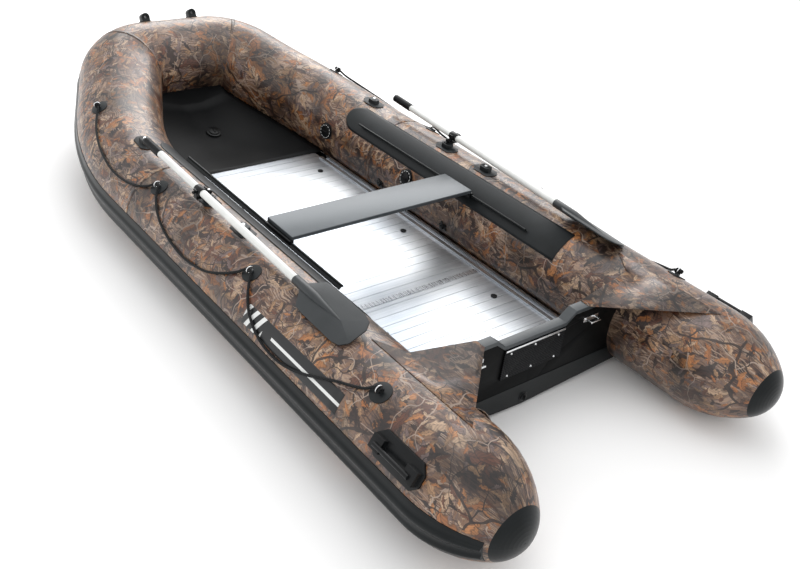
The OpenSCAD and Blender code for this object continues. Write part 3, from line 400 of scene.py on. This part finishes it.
def brushed(name, dark, light, roughness, scale):
    """Metal with fine scratches that are long along the smallest of the three scales."""
    material = finish_of(name, dark, roughness, metallic=1.0)
    stretched = add(material, "Mapping", {"Vector": object_places(material), "Scale": scale}).outputs[0]
    scratches = noise_of(material, stretched, 1.0, 3, 0.7).outputs[0]
    drift = noise_of(material, object_places(material), 2.2, 2).outputs[0]
    tone = calc(material, "MULTIPLY_ADD", scratches, 0.35, calc(material, "MULTIPLY", drift, 0.65))
    plug(material, "Base Color", ramp(material, tone, [(0.35, dark), (0.62, light)]))
    plug(material, "Roughness", add(material, "MapRange", {
        "Value": scratches, "To Min": roughness - 0.08, "To Max": roughness + 0.12}).outputs[0])
    bump(material, scratches, 0.12, 0.0004)
    return material


rubber = uneven("black_rubber", (0.003, 0.0045, 0.005), (0.006, 0.008, 0.009), 0.3, grain=700, specular=0.2)
charcoal_cloth = uneven("charcoal_pvc", (0.004, 0.0045, 0.005), (0.007, 0.0075, 0.008), 0.45, scale=4, grain=900,
                        specular=0.15)
bottom_cloth = uneven("bottom_pvc", (0.012, 0.014, 0.016), (0.02, 0.022, 0.025), 0.5, grain=900)
patch_cloth = uneven("grey_patch", (0.008, 0.010, 0.011), (0.013, 0.016, 0.018), 0.45, grain=1100, specular=0.3)
floor_metal = brushed("floor_aluminium", (0.36, 0.395, 0.44), (0.63, 0.65, 0.67), 0.36, (3, 260, 260))
rail_metal = brushed("rail_aluminium", (0.42, 0.45, 0.49), (0.72, 0.74, 0.77), 0.26, (260, 3, 260))
bench_metal = uneven("bench_anodised", (0.070, 0.080, 0.088), (0.088, 0.099, 0.108), 0.36, scale=3, grain=600,
                     metallic=0.35)
moulded = uneven("moulded_black", (0.003, 0.0035, 0.004), (0.006, 0.007, 0.008), 0.32, grain=800, specular=0.25)
board_paint = uneven("transom_paint", (0.0015, 0.0017, 0.002), (0.003, 0.0033, 0.0036), 0.45, grain=350,
                     specular=0.08)
trim_grey = uneven("transom_trim", (0.030, 0.036, 0.040), (0.045, 0.052, 0.058), 0.4, grain=500)
steel = brushed("polished_steel", (0.62, 0.63, 0.64), (0.86, 0.87, 0.88), 0.16, (60, 60, 60))
strip_metal = brushed("strip_aluminium", (0.7, 0.71, 0.73), (0.9, 0.91, 0.92), 0.22, (3, 260, 260))
shaft_white = uneven("oar_shaft_white", (0.66, 0.67, 0.65), (0.74, 0.75, 0.73), 0.3, scale=14, coat=0.2)
blade_plastic = uneven("blade_plastic", (0.016, 0.020, 0.022), (0.025, 0.029, 0.032), 0.42, grain=500)
inner_cloth = uneven("inner_wall", (0.40, 0.37, 0.33), (0.48, 0.45, 0.40), 0.7)
white_print = uneven("white_print", (0.62, 0.63, 0.62), (0.74, 0.75, 0.74), 0.45)
print("finishes:", len(bpy.data.materials))

# %% [markdown]
# The motor pads are moulded with a fine square grid, so that clamp pads grip
# them. Two sine waves on the Object coordinates, one across and one up, make
# the grid as a bump. The same height also colours the grooves darker than the
# ridges, as painted shade.

# %% Motor pad finish
pad_grid = finish_of("motor_pad", (0.006, 0.007, 0.008), 0.45, specular=0.1)
pad_axes = add(pad_grid, "SeparateXYZ", {0: object_places(pad_grid)})
pad_waves = [calc(pad_grid, "SINE", calc(pad_grid, "MULTIPLY", pad_axes.outputs[axis], 2 * math.pi / 0.009))
             for axis in (0, 2)]
pad_height = calc(pad_grid, "MAXIMUM", *pad_waves)
# Painted shade: the grid's grooves are coloured darker than its ridges.
plug(pad_grid, "Base Color", ramp(pad_grid, pad_height, [(0.3, (0.002, 0.002, 0.003)), (0.9, (0.010, 0.011, 0.012))]))
bump(pad_grid, pad_height, 0.8, 0.0012)

# %% [markdown]
# The grab line on each side is one rope of fixed length. It is knotted to the
# first and last ring, passes through the two between, and lies on the tube in
# four, then three, slack bights. A mesh tube along a smooth path carries a
# flat map, so that a diamond braid can follow the rope, as a bump and as
# painted shade in the grooves between strands.

# %% Braided rope finish
rope = finish_of("braided_rope", (0.005, 0.0055, 0.006), 0.6, specular=0.2)
rope_flat = add(rope, "SeparateXYZ", {0: add(rope, "UVMap", uv_map="UVMap").outputs[0]})
rope_turn = calc(rope, "MULTIPLY", rope_flat.outputs[1], 2 * math.pi * 5)
rope_run = calc(rope, "MULTIPLY", rope_flat.outputs[0], 2 * math.pi / 0.014)
strand_a = calc(rope, "SINE", calc(rope, "ADD", rope_run, rope_turn))
strand_b = calc(rope, "SINE", calc(rope, "SUBTRACT", rope_run, rope_turn))
braid = calc(rope, "MAXIMUM", strand_a, strand_b)
# Painted shade: the braid is coloured darker in the grooves between strands than on their crests.
plug(rope, "Base Color", ramp(rope, braid, [(0.2, (0.002, 0.0025, 0.003)), (0.9, (0.012, 0.013, 0.014))]))
bump(rope, braid, 0.6, 0.0012)

# %% Grab lines
ROPE_D = 0.011
LINE_ROUTE = [  # (metres from the transom, angle round the tube, millimetres off the tube)
    (-.058, 61, 20), (-.041, 61, 20), (-.02, 60, 19), (.01, 54, 9), (.06, 48, 7.5), (.12, 42, 7), (.19, 34, 7),
    (.26, 26, 7), (.33, 20, 7), (.4, 16, 7), (.47, 15, 7), (.54, 17, 7), (.61, 23, 7), (.67, 31, 7),
    (.72, 41, 7.5), (.76, 51, 9), (.785, 59, 18), (.803, 61, 20), (.822, 60, 18), (.85, 53, 9), (.89, 45, 7),
    (.95, 36, 7), (1.02, 29, 7), (1.1, 25, 7), (1.18, 23, 7), (1.26, 24, 7), (1.34, 27, 7), (1.42, 32, 7),
    (1.49, 39, 7), (1.545, 47, 7.5), (1.58, 54, 10), (1.597, 60, 18), (1.612, 61, 20), (1.63, 60, 18),
    (1.66, 54, 9), (1.71, 47, 7), (1.79, 41, 7), (1.88, 38, 7), (1.97, 38, 7), (2.06, 40, 7.5), (2.15, 43, 8),
    (2.24, 47, 8), (2.32, 52, 8), (2.38, 57, 10), (2.415, 61, 18), (2.435, 61, 20), (2.452, 61, 20)]


def smooth_path(points, steps):
    """A Catmull-Rom path through points, in steps to each stretch."""
    ends = [2 * points[0] - points[1]] + points + [2 * points[-1] - points[-2]]
    path = []
    for a, b, c, d in zip(ends, ends[1:], ends[2:], ends[3:]):
        for i in range(steps):
            t = i / steps
            path.append(0.5 * ((2 * b) + (c - a) * t + (2 * a - 5 * b + 4 * c - d) * t * t
                               + (3 * b - a - 3 * c + d) * t ** 3))
    return path + [points[-1]]


def rope_along(path, diameter, sides=10):
    """A round rope's skin along a path, and its length."""
    rings, run = [], [0.0]
    for a, b in zip(path, path[1:]):
        run.append(run[-1] + (b - a).length)
    up = Vector((0, 0, 1))
    for i, point in enumerate(path):
        along = (path[min(i + 1, len(path) - 1)] - path[max(i - 1, 0)]).normalized()
        side = along.cross(up).normalized()
        other = side.cross(along)
        rings.append([point + diameter / 2 * (math.cos(a) * side + math.sin(a) * other)
                      for a in [2 * math.pi * k / sides for k in range(sides)]])
    bm = swept(rings, lambda segment, p, k: (min(
        (run[segment], run[segment + 1]), key=lambda r, p=p: (path[run.index(r)] - p).length), k / sides), capped=True)
    return bm, run[-1]


line_path = smooth_path([tube_point(place(y), TUBE_R + off / 1000, a) for y, a, off in LINE_ROUTE], 5)
for side in ("port", "starboard"):
    path = [to_port(p) for p in line_path] if side == "port" else line_path
    line_mesh, line_length = rope_along(path, ROPE_D)
    line = set_piece(side + "_line", line_mesh, rope, stands_for=[side + "_grab_line"], slot="black_rope")
    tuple(path[0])
    print(side, "grab line measures", round(line_length, 3), "m")

# %% [markdown]
# The three air chambers make one long skin. Real boats of this kind are welded
# from flat panels, so the print runs straight within a panel and breaks at a
# seam in each bow corner. Here each panel's flat map is measured along its own
# straight direction, which keeps the leaves from crowding on the inside of the
# bends.

# %% Air chambers
TUBE_SIDES = 96
around = [-90 + 360 * k / TUBE_SIDES for k in range(TUBE_SIDES)]
stern_ys = [CONE_Y - CONE_LEN * math.sin(math.radians(a)) for a in range(90, 0, -10)]
side_ys = stern_ys + [CONE_Y + (CHAMBER_Y - CONE_Y) * i / 14 for i in range(15)]


def tube_map(direction, shift):
    """A flat map for a panel whose length runs along a direction."""
    def mapped(segment, point, k):
        return point.dot(direction) + shift, (k / TUBE_SIDES - 0.5) * 2 * math.pi * TUBE_R
    return mapped


for side in ("starboard", "port"):
    rings = [[tube_point(place(y), radius_at(y), a) for a in around] for y in side_ys]
    if side == "port":
        rings = [[to_port(p) for p in ring] for ring in rings]
    chamber = swept(rings, tube_map(Vector((0, 1, 0)), 0.0 if side == "starboard" else 7.3), capped=True)
    set_piece(side + "_chamber", chamber, camo, stands_for=[side + "_tube"], slot="camo_pvc")

half_places, half_turns = bow_half()
half_rings = [[tube_point(at, TUBE_R, a) for a in around] for at in half_places]
bow_rings = half_rings + [[to_port(p) for p in ring] for ring in reversed(half_rings[:-1])]
bow_turns = half_turns + [math.pi - t for t in reversed(half_turns[:-1])]
SEAM_TURN = math.radians(58)


def bow_map(segment, point, k):
    turn = (bow_turns[segment] + bow_turns[segment + 1]) / 2
    straight = CURVE_TURN / 2
    if turn < SEAM_TURN:
        heading, shift = straight, 0.0
    elif turn < math.pi - SEAM_TURN:
        heading, shift = math.pi / 2, 3.1
    else:
        heading, shift = math.pi - straight, 5.2
    direction = Vector((-math.sin(heading), math.cos(heading), 0))
    return point.dot(direction) + shift, (k / TUBE_SIDES - 0.5) * 2 * math.pi * TUBE_R


set_piece("bow_chamber", swept(bow_rings, bow_map, capped=True), camo, stands_for=["bow_tube"], slot="camo_pvc")
print("bow rings:", len(bow_rings))

# %% [markdown]
# Rubbing strakes take the knocks when the boat lies alongside. The moulding is
# a flat band with two rounded ridges. Its section is given as angles round the
# tube with a height above it, so it follows the cone's taper without any
# special care.

# %% Rubbing strakes
STRAKE_H = 0.0132
STRAKE_SECTION = [(9.2, -0.1), (9, 0.12), (7, 0.2), (4.2, 0.24), (1.6, 0.3), (0.2, 0.5), (-1.2, 0.8), (-2.6, 0.96),
                  (-4, 1), (-5.4, 0.96), (-6.8, 0.8), (-8.4, 0.5), (-10, 0.3), (-13, 0.26), (-16, 0.3), (-17.6, 0.46),
                  (-19.2, 0.72), (-20.8, 0.9), (-22.2, 0.94), (-23.6, 0.9), (-25.2, 0.72), (-26.8, 0.46),
                  (-28.5, 0.3), (-32, 0.24), (-36, 0.2), (-37.6, 0.12), (-38, -0.1)]


def strake_ring(at, radius):
    return [tube_point(at, radius + 0.0004 + STRAKE_H * h, a) for a, h in STRAKE_SECTION]


strake_ys = [CONE_Y - CONE_LEN + 0.012 + (CONE_LEN - 0.012) * i / 12 for i in range(12)] + [CONE_Y, 0.4, 1.1]
strake_places = [(place(y), radius_at(y)) for y in strake_ys] + [(at, TUBE_R) for at in half_places]
strake_half = [strake_ring(at, r) for at, r in strake_places]
for side in ("starboard", "port"):
    rings = [[to_port(p) for p in ring] for ring in strake_half] if side == "port" else strake_half
    band = swept(rings, lambda segment, p, k: (p[1], k * 0.008), capped=True)
    set_piece(side + "_rubbing_strake", band, rubber, stands_for=[side + "_strake"], slot="black_rubber")
print("strake rings:", len(strake_half))

# %% [markdown]
# Strips of cloth that lie on a tube are all made one way: a line of points
# round the tube is swept along it, then Solidify gives it a thickness outwards.
# The same helper makes the seat tracks, seam tapes and the printed panel.

# %% Strips that lie on a tube
def strip_on_tube(name, places, spans, finish, lift=0.0012, thick=0.0012, points=14, port=False,
                  shift=0.0, **more):
    """A strip over places, each with its (from, to) angles; its flat map runs along the boat."""
    rings = [[tube_point(at, r + lift, a0 + (a1 - a0) * k / (points - 1)) for k in range(points)]
             for (at, r), (a0, a1) in zip(places, spans)]
    run = [0.0]
    for (a, _), (b, _) in zip(places, places[1:]):
        run.append(run[-1] + (b.translation - a.translation).length)
    if port:
        rings = [[to_port(p) for p in ring] for ring in rings]

    def mapped(segment, point, k):
        near = min((segment, segment + 1), key=lambda i: (rings[i][k] - point).length)
        a0, a1 = spans[near]
        return run[near] + shift, math.radians(a0 + (a1 - a0) * k / (points - 1)) * TUBE_R
    bm = swept(rings, mapped, closed=False)
    outside = sum((f.normal.dot(f.calc_center_median() - (Vector((
        -1 if port else 1, 1, 1)) * places[0][0].translation)) for f in bm.faces), 0.0)
    if outside < 0:
        bmesh.ops.reverse_faces(bm, faces=bm.faces)
    piece = set_piece(name, bm, finish, **more)
    walls = piece.modifiers.new("cloth", "SOLIDIFY")
    walls.thickness, walls.offset = thick, 1.0
    return piece


TRACK_LOW, TRACK_HIGH = 150, 108
TRACK_ROUND_Y, TRACK_ROUND, TRACK_END_Y = 1.942, 0.117, 2.0595
track_ys = [0.395, 0.6, 0.9, 1.2, 1.5, 1.735, 1.9]
track_ys += [TRACK_ROUND_Y + TRACK_ROUND * math.sin(math.radians(a)) for a in range(0, 91, 9)]


def track_span(y, low, high, end, round_len):
    """The track's two angles at y; its fore end is rounded over round_len."""
    middle, half = (low + high) / 2, (low - high) / 2
    if y > end - round_len:
        half *= math.sqrt(max(0.0004, 1 - ((y - end + round_len) / round_len) ** 2))
    return middle + half, middle - half


for side in ("starboard", "port"):
    spans = [track_span(y, TRACK_LOW, TRACK_HIGH, TRACK_END_Y, TRACK_ROUND) for y in track_ys]
    strip_on_tube(side + "_seat_track", [(place(y), TUBE_R) for y in track_ys], spans, patch_cloth, lift=0.0008,
                  thick=0.0018, port=side == "port", slot="grey_patch_rubber",
                  stands_for=["seat_tracks"] if side == "starboard" else ())

# %% Seam tapes
def tape(name, at_places, port, shift):
    """A thin strip of the printed cloth round a tube, over a seam."""
    spans = [(-24, 236)] * len(at_places)
    return strip_on_tube(name, at_places, spans, camo, lift=0.0002, thick=0.0008, points=70, port=port,
                         shift=shift, slot="camo_pvc")


seam_index = min(range(len(half_turns)), key=lambda i: abs(half_turns[i] - SEAM_TURN))
for side in ("starboard", "port"):
    tape(side + "_chamber_seam", [(place(CHAMBER_Y + d), TUBE_R) for d in (-0.014, 0.014)], side == "port", 2.0)
    tape(side + "_bow_seam", [(half_places[i], TUBE_R) for i in (seam_index, seam_index + 1)], side == "port", 4.0)

# %% [markdown]
# The real boat carries a printed panel on its port side. Here it is only a
# black panel with plain pale bars, so nothing on it can be read.

# %% Plain striped panel
panel_finish = finish_of("striped_panel", (0.01, 0.011, 0.012), 0.4)
panel_flat = add(panel_finish, "SeparateXYZ", {0: add(panel_finish, "UVMap", uv_map="UVMap").outputs[0]})
panel_along, panel_up = panel_flat.outputs[0], panel_flat.outputs[1]
slant = calc(panel_finish, "FRACT", calc(panel_finish, "DIVIDE", calc(
    panel_finish, "ADD", panel_along, calc(panel_finish, "MULTIPLY", panel_up, 0.5)), 0.05))
bars = calc(panel_finish, "MULTIPLY", calc(panel_finish, "GREATER_THAN", slant, 0.55),
            calc(panel_finish, "GREATER_THAN", panel_along, 0.50))
long_bar = calc(panel_finish, "MULTIPLY", calc(panel_finish, "LESS_THAN", calc(panel_finish, "ABSOLUTE", calc(
    panel_finish, "SUBTRACT", panel_up, 0.102)), 0.006), calc(panel_finish, "LESS_THAN", panel_along, 0.44))
panel_mask = calc(panel_finish, "MAXIMUM", bars, long_bar)
plug(panel_finish, "Base Color", mix(panel_finish, panel_mask, (0.010, 0.011, 0.012), (0.70, 0.71, 0.70)))
panel_ys = [0.062 + 0.634 * i / 12 for i in range(13)]
strip_on_tube("striped_panel", [(place(y), TUBE_R) for y in panel_ys], [(17, 38)] * 13, panel_finish, lift=0.0003,
              thick=0.0005, port=True, slot="black_plastic")

# %% [markdown]
# The bow floor is a sheet of black cloth, stretched between the tubes ahead of
# the hard floor. It dips towards the middle, where the keel tube's valve is.

# %% Bow floor cloth
APRON_ANGLE, APRON_FLAT = 215, 0.06
FLOOR_END_Y = 2.174


def apron_line(at, points=25):
    """A line across the cloth, from tube to tube, dipping towards its middle."""
    edge = tube_point(at, TUBE_R + 0.0012, APRON_ANGLE)
    y = at.translation.y + TRANSOM_TO_ORIGIN
    sag = (0.01 + 0.04 * min(1, (y - FLOOR_END_Y - 0.02) / 0.25)) * min(1, (BOW_Y - y) / 0.14)
    line = []
    for k in range(points):
        x = edge.x * (1 - 2 * k / (points - 1))
        dip = sag * min(1, max(0, (edge.x - abs(x)) / (edge.x - APRON_FLAT)))
        line.append(Vector((x, edge.y, edge.z - dip)))
    return line


apron_places = [place(y) for y in (2.196, 2.25, 2.31, 2.38, 2.46, 2.54, 2.61)] + half_places[15:]
apron_rings = [apron_line(at) for at in apron_places]
apron_bm = swept(apron_rings, lambda segment, p, k: (p.x, p.y), closed=False)
apron = set_piece("bow_floor_cloth", apron_bm, charcoal_cloth, stands_for=["bow_apron"],
                  slot="charcoal_pvc", sharp=60)
apron_walls = apron.modifiers.new("cloth", "SOLIDIFY")
apron_walls.thickness, apron_walls.offset = 0.0018, 1.0

# %% [markdown]
# Moulded and machined parts come from CAD with perfectly sharp edges, and no
# real part has those. A helper copies a CAD node, merges its loose triangles,
# joins the ones that lie flat and bevels the edges that are left, so every edge
# catches a line of light.

# %% Softened copies of CAD nodes
def softened(node, finish, width=0.0012, segments=2, sharp=30, name=None, mapped=None):
    """A copy of a CAD node with its edges bevelled, standing for that node."""
    bm = bmesh.new()
    bm.from_mesh(frame["nodes"][node].data)
    bmesh.ops.remove_doubles(bm, verts=bm.verts, dist=2e-5)
    bmesh.ops.dissolve_limit(bm, angle_limit=math.radians(0.5), verts=bm.verts, edges=bm.edges)
    edges = [e for e in bm.edges if len(e.link_faces) == 2 and e.calc_face_angle(0) > math.radians(sharp)]
    bmesh.ops.bevel(bm, geom=edges, offset=width, offset_type="OFFSET", affect="EDGES", segments=segments,
                    profile=0.5, material=-1, clamp_overlap=True)
    if mapped:
        uv_layer = bm.loops.layers.uv.new("UVMap")
        for face in bm.faces:
            for lp in face.loops:
                lp[uv_layer].uv = mapped(lp.vert.co)
    slots = {s["node"]: s["material_slot"] for s in frame["record"]["subparts"]}
    return set_piece(name or node + "_soft", bm, finish, body=body_of_node[node], stands_for=[node],
                     slot=slots[node], sharp=40)


SOFTENED = [("carry_handle", moulded, 0.003, 3), ("oarlock", moulded, 0.0012, 2), ("knob", moulded, 0.0014, 2),
            ("oar_collar", moulded, 0.0015, 2), ("oar_blade", blade_plastic, 0.0014, 2)]
for part, finish, width, segments in SOFTENED:
    for side in ("port", "starboard"):
        softened(side + "_" + part, finish, width, segments)
for node, finish, width, segments in [
        ("bench_board", bench_metal, 0.003, 3), ("bench_rails", moulded, 0.0015, 2),
        ("transom_board", board_paint, 0.002, 2), ("transom_cap", trim_grey, 0.002, 3),
        ("motor_plates", pad_grid, 0.0015, 2), ("plate_strip", strip_metal, 0.0008, 2),
        ("tow_eyes", steel, 0.0008, 2), ("oar_pads", patch_cloth, 0.0016, 2),
        ("line_patches", patch_cloth, 0.0008, 2),
        ("bow_loops", rubber, 0.002, 2), ("tie_downs", rubber, 0.0012, 2), ("drain_body", moulded, 0.001, 2),
        ("drain_plug", moulded, 0.001, 2), ("valve_bodies", moulded, 0.0012, 2),
        ("port_valve_cap", moulded, 0.0012, 2), ("starboard_valve_cap", moulded, 0.0012, 2),
        ("bow_valve_cap", moulded, 0.0012, 2), ("keel_valve_cap", moulded, 0.0012, 2)]:
    softened(node, finish, width, segments)
softened("strap_handles", camo, 0.0008, 2, mapped=lambda p: (p.y, p.z + p.x))
print("softened copies made")

# %% [markdown]
# Splash gussets fill the corner between the transom's top and each tube. Each
# is a flat sheet of the printed cloth, tangent to the tube, welded along the
# tube and screwed to the transom's top.

# %% Splash gussets
GUSSET_X, GUSSET_Z, TRANSOM_T = 0.285, 0.3913, 0.04
gusset_run = math.hypot(TUBE_X - GUSSET_X, TUBE_R - GUSSET_Z)
gusset_lean = math.asin((TUBE_R + 0.0006) / gusset_run) - math.atan2(GUSSET_Z - TUBE_R, TUBE_X - GUSSET_X)
gusset_w = math.sqrt(gusset_run ** 2 - (TUBE_R + 0.0006) ** 2) + 0.008
GUSSET_OUTLINE = [(0, -0.004), (0, TRANSOM_T + 0.004), (gusset_w * 0.8, TRANSOM_T + 0.03),
                  (gusset_w, TRANSOM_T + 0.15), (gusset_w, -0.355)]
for side, sign in (("port", -1), ("starboard", 1)):
    gusset_bm = bmesh.new()
    corners = [gusset_bm.verts.new((
        sign * (GUSSET_X + u * math.cos(gusset_lean)), v - TRANSOM_TO_ORIGIN,
        GUSSET_Z + u * math.sin(gusset_lean) + 0.001)) for u, v in GUSSET_OUTLINE]
    flat_face = gusset_bm.faces.new(corners)
    gusset_uv = gusset_bm.loops.layers.uv.new("UVMap")
    for lp, (u, v) in zip(flat_face.loops, GUSSET_OUTLINE):
        lp[gusset_uv].uv = (v + 0.37, sign * (u + GUSSET_X))
    if flat_face.normal.z < 0:
        bmesh.ops.reverse_faces(gusset_bm, faces=gusset_bm.faces)
    area = flat_face.calc_area()
    gusset = set_piece(side + "_gusset", gusset_bm, camo, slot="camo_pvc",
                       stands_for=["corner_gussets"] if side == "starboard" else ())
    thickness = gusset.modifiers.new("cloth", "SOLIDIFY")
    thickness.thickness, thickness.offset = 0.0016, 0.0
    print(side, "gusset area", round(area, 3), "of", round(gusset_w * 0.545, 3))

# %% [markdown]
# Small things that CAD leaves plain: pale dashes round each valve's rim, the
# knots at the ends of the grab lines and the ribs of the oar grips. A valve's
# place and axis are read from the joint that turns its cap.

# %% Valve dashes
joints = {j["name"]: j for j in frame["record"]["behaviour"]["joints"]}
DASHES, DASH_R = 12, 0.0355
for name in ("port", "starboard", "bow", "keel"):
    joint = joints[name + "_valve_cap_turn"]
    axis = Vector(joint["axis"]).normalized()
    across = axis.cross(Vector((0, 1, 0))).normalized()
    other = axis.cross(across)
    dash_bm = bmesh.new()
    for dash in range(DASHES):
        middle = 2 * math.pi * dash / DASHES
        outline = [(DASH_R + 0.0016, middle + a) for a in (-0.16, -0.08, 0, 0.08, 0.16)]
        outline += [(DASH_R - 0.0016, middle + a) for a in (0.16, 0.08, 0, -0.08, -0.16)]
        dash_bm.faces.new([dash_bm.verts.new(
            Vector(joint["pos_m"]) + 0.0004 * axis + r * (math.cos(a) * across + math.sin(a) * other))
            for r, a in outline])
    bmesh.ops.recalc_face_normals(dash_bm, faces=dash_bm.faces)
    set_piece(name + "_valve_dashes", dash_bm, white_print, slot="black_plastic")

# %% Line knots
def knot(path, name):
    """Three turns of the line round its own first 34 mm, which stand for the knot."""
    along = (path[6] - path[0]).normalized()
    side = along.cross(Vector((0, 0, 1))).normalized()
    other = side.cross(along)
    turns = [path[0] + along * (0.004 + 0.030 * i / 48) + 0.0085 * (
        math.cos(2 * math.pi * i / 16) * side + math.sin(2 * math.pi * i / 16) * other) for i in range(49)]
    knot_mesh, _ = rope_along(turns, 0.0095, sides=8)
    set_piece(name, knot_mesh, rope, slot="black_rope")


for side in ("port", "starboard"):
    path = [to_port(p) for p in line_path] if side == "port" else line_path
    knot(path, side + "_stern_knot")
    knot(path[::-1], side + "_bow_knot")

# %% Ribbed grips
for side in ("port", "starboard"):
    shell = [v.co.copy() for v in frame["nodes"][side + "_oar_grip"].data.vertices]
    middle_y = sum(p.y for p in shell) / len(shell)
    caps = [[p for p in shell if (p.y > middle_y) == fore] for fore in (False, True)]
    tail, nose = (sum(cap, Vector()) / len(cap) for cap in caps)
    along = (nose - tail).normalized()
    reach = [(p - tail).dot(along) for p in shell]
    tail, length = tail + min(reach) * along, max(reach) - min(reach)
    grip_r = max(((p - tail) - (p - tail).dot(along) * along).length for p in shell)
    side_way = along.cross(Vector((0, 0, 1))).normalized()
    up_way = side_way.cross(along)
    profile = [(0, 0.86), (0.0015, 0.97)]
    for rib in range(int((length - 0.012) / 0.007)):
        start = 0.004 + 0.007 * rib
        profile += [(start, 0.99), (start + 0.0008, 0.90), (start + 0.0022, 0.90), (start + 0.003, 0.99)]
    profile += [(length - 0.003, 0.99), (length, 0.8)]
    rings = [[tail + along * run + grip_r * wide * (
        math.cos(2 * math.pi * k / 32) * side_way + math.sin(2 * math.pi * k / 32) * up_way) for k in range(32)]
        for run, wide in profile]
    grip = swept(rings, lambda segment, p, k: (p.y, k / 32), capped=True)
    set_piece(side + "_ribbed_grip", grip, moulded, body=side + "_oar", stands_for=[side + "_oar_grip"],
              slot="oar_plastic", sharp=50)
print("grip length", round(length, 3), "radius", round(grip_r, 4))

# %% [markdown]
# The nodes whose CAD shape is already right keep it, and only get their finish.

# %% Finishes on CAD nodes
KEPT = {"cone_caps": rubber, "bottom_skin": bottom_cloth, "keel_tube": bottom_cloth,
        "chamber_baffles": inner_cloth, "stern_floor_panel": floor_metal,
        "middle_floor_panel": floor_metal, "bow_floor_panel": floor_metal,
        "floor_joiners": rail_metal, "port_stringer": rail_metal, "starboard_stringer": rail_metal,
        "floor_plugs": moulded, "transom_screws": steel, "transom_skirt": rubber, "line_rings": steel,
        "seat_beads": rubber, "pad_studs": steel, "port_oar_shaft": shaft_white,
        "starboard_oar_shaft": shaft_white}
for node, finish in KEPT.items():
    mesh = frame["nodes"][node].data
    mesh.materials.clear()
    mesh.materials.append(finish)
print("CAD nodes with a new finish:", len(KEPT))

# %% [markdown]
# Plain pale floor and soft studio light: a white world for the even light, one
# large soft light overhead for the sheen on top of the tubes, and a second from
# the camera's side that opens the shadows.

# %% Studio
floor_bm = bmesh.new()
bmesh.ops.create_grid(floor_bm, x_segments=1, y_segments=1, size=30)
floor_mesh = bpy.data.meshes.new("studio_floor")
floor_bm.to_mesh(floor_mesh)
floor_bm.free()
floor_mesh.materials.append(finish_of("studio_white", (0.97, 0.97, 0.97), 0.9, specular=0.0))
studio_floor = bpy.data.objects.new("studio_floor", floor_mesh)
bpy.context.scene.collection.objects.link(studio_floor)
studio_floor.location.z = -0.001

world = bpy.data.worlds.new("studio")
bpy.context.scene.world = world
world.use_nodes = True
world.node_tree.nodes["Background"].inputs["Color"].default_value = (1, 1, 1, 1)
world.node_tree.nodes["Background"].inputs["Strength"].default_value = 1.0


def soft_light(name, at, aim, size, watts):
    data = bpy.data.lights.new(name, "AREA")
    data.shape, data.size, data.size_y, data.energy = "RECTANGLE", size[0], size[1], watts
    lamp = bpy.data.objects.new(name, data)
    lamp.location = at
    lamp.rotation_euler = (Vector(aim) - Vector(at)).to_track_quat("-Z", "Y").to_euler()
    bpy.context.scene.collection.objects.link(lamp)


soft_light("overhead", (0.6, 0.6, 4.2), (0, 0.2, 0), (3.2, 5.0), 60)
soft_light("behind", (3.4, 4.6, 3.4), (0, 0.2, 0.3), (6.0, 3.0), 220)
soft_light("camera_side", (-4.5, -3.0, 3.0), (0, 0, 0.2), (3.0, 2.5), 20)
bpy.context.scene.view_settings.view_transform = "Standard"

# %% [markdown]
# The last cell imports json.

# %% Finish
import json
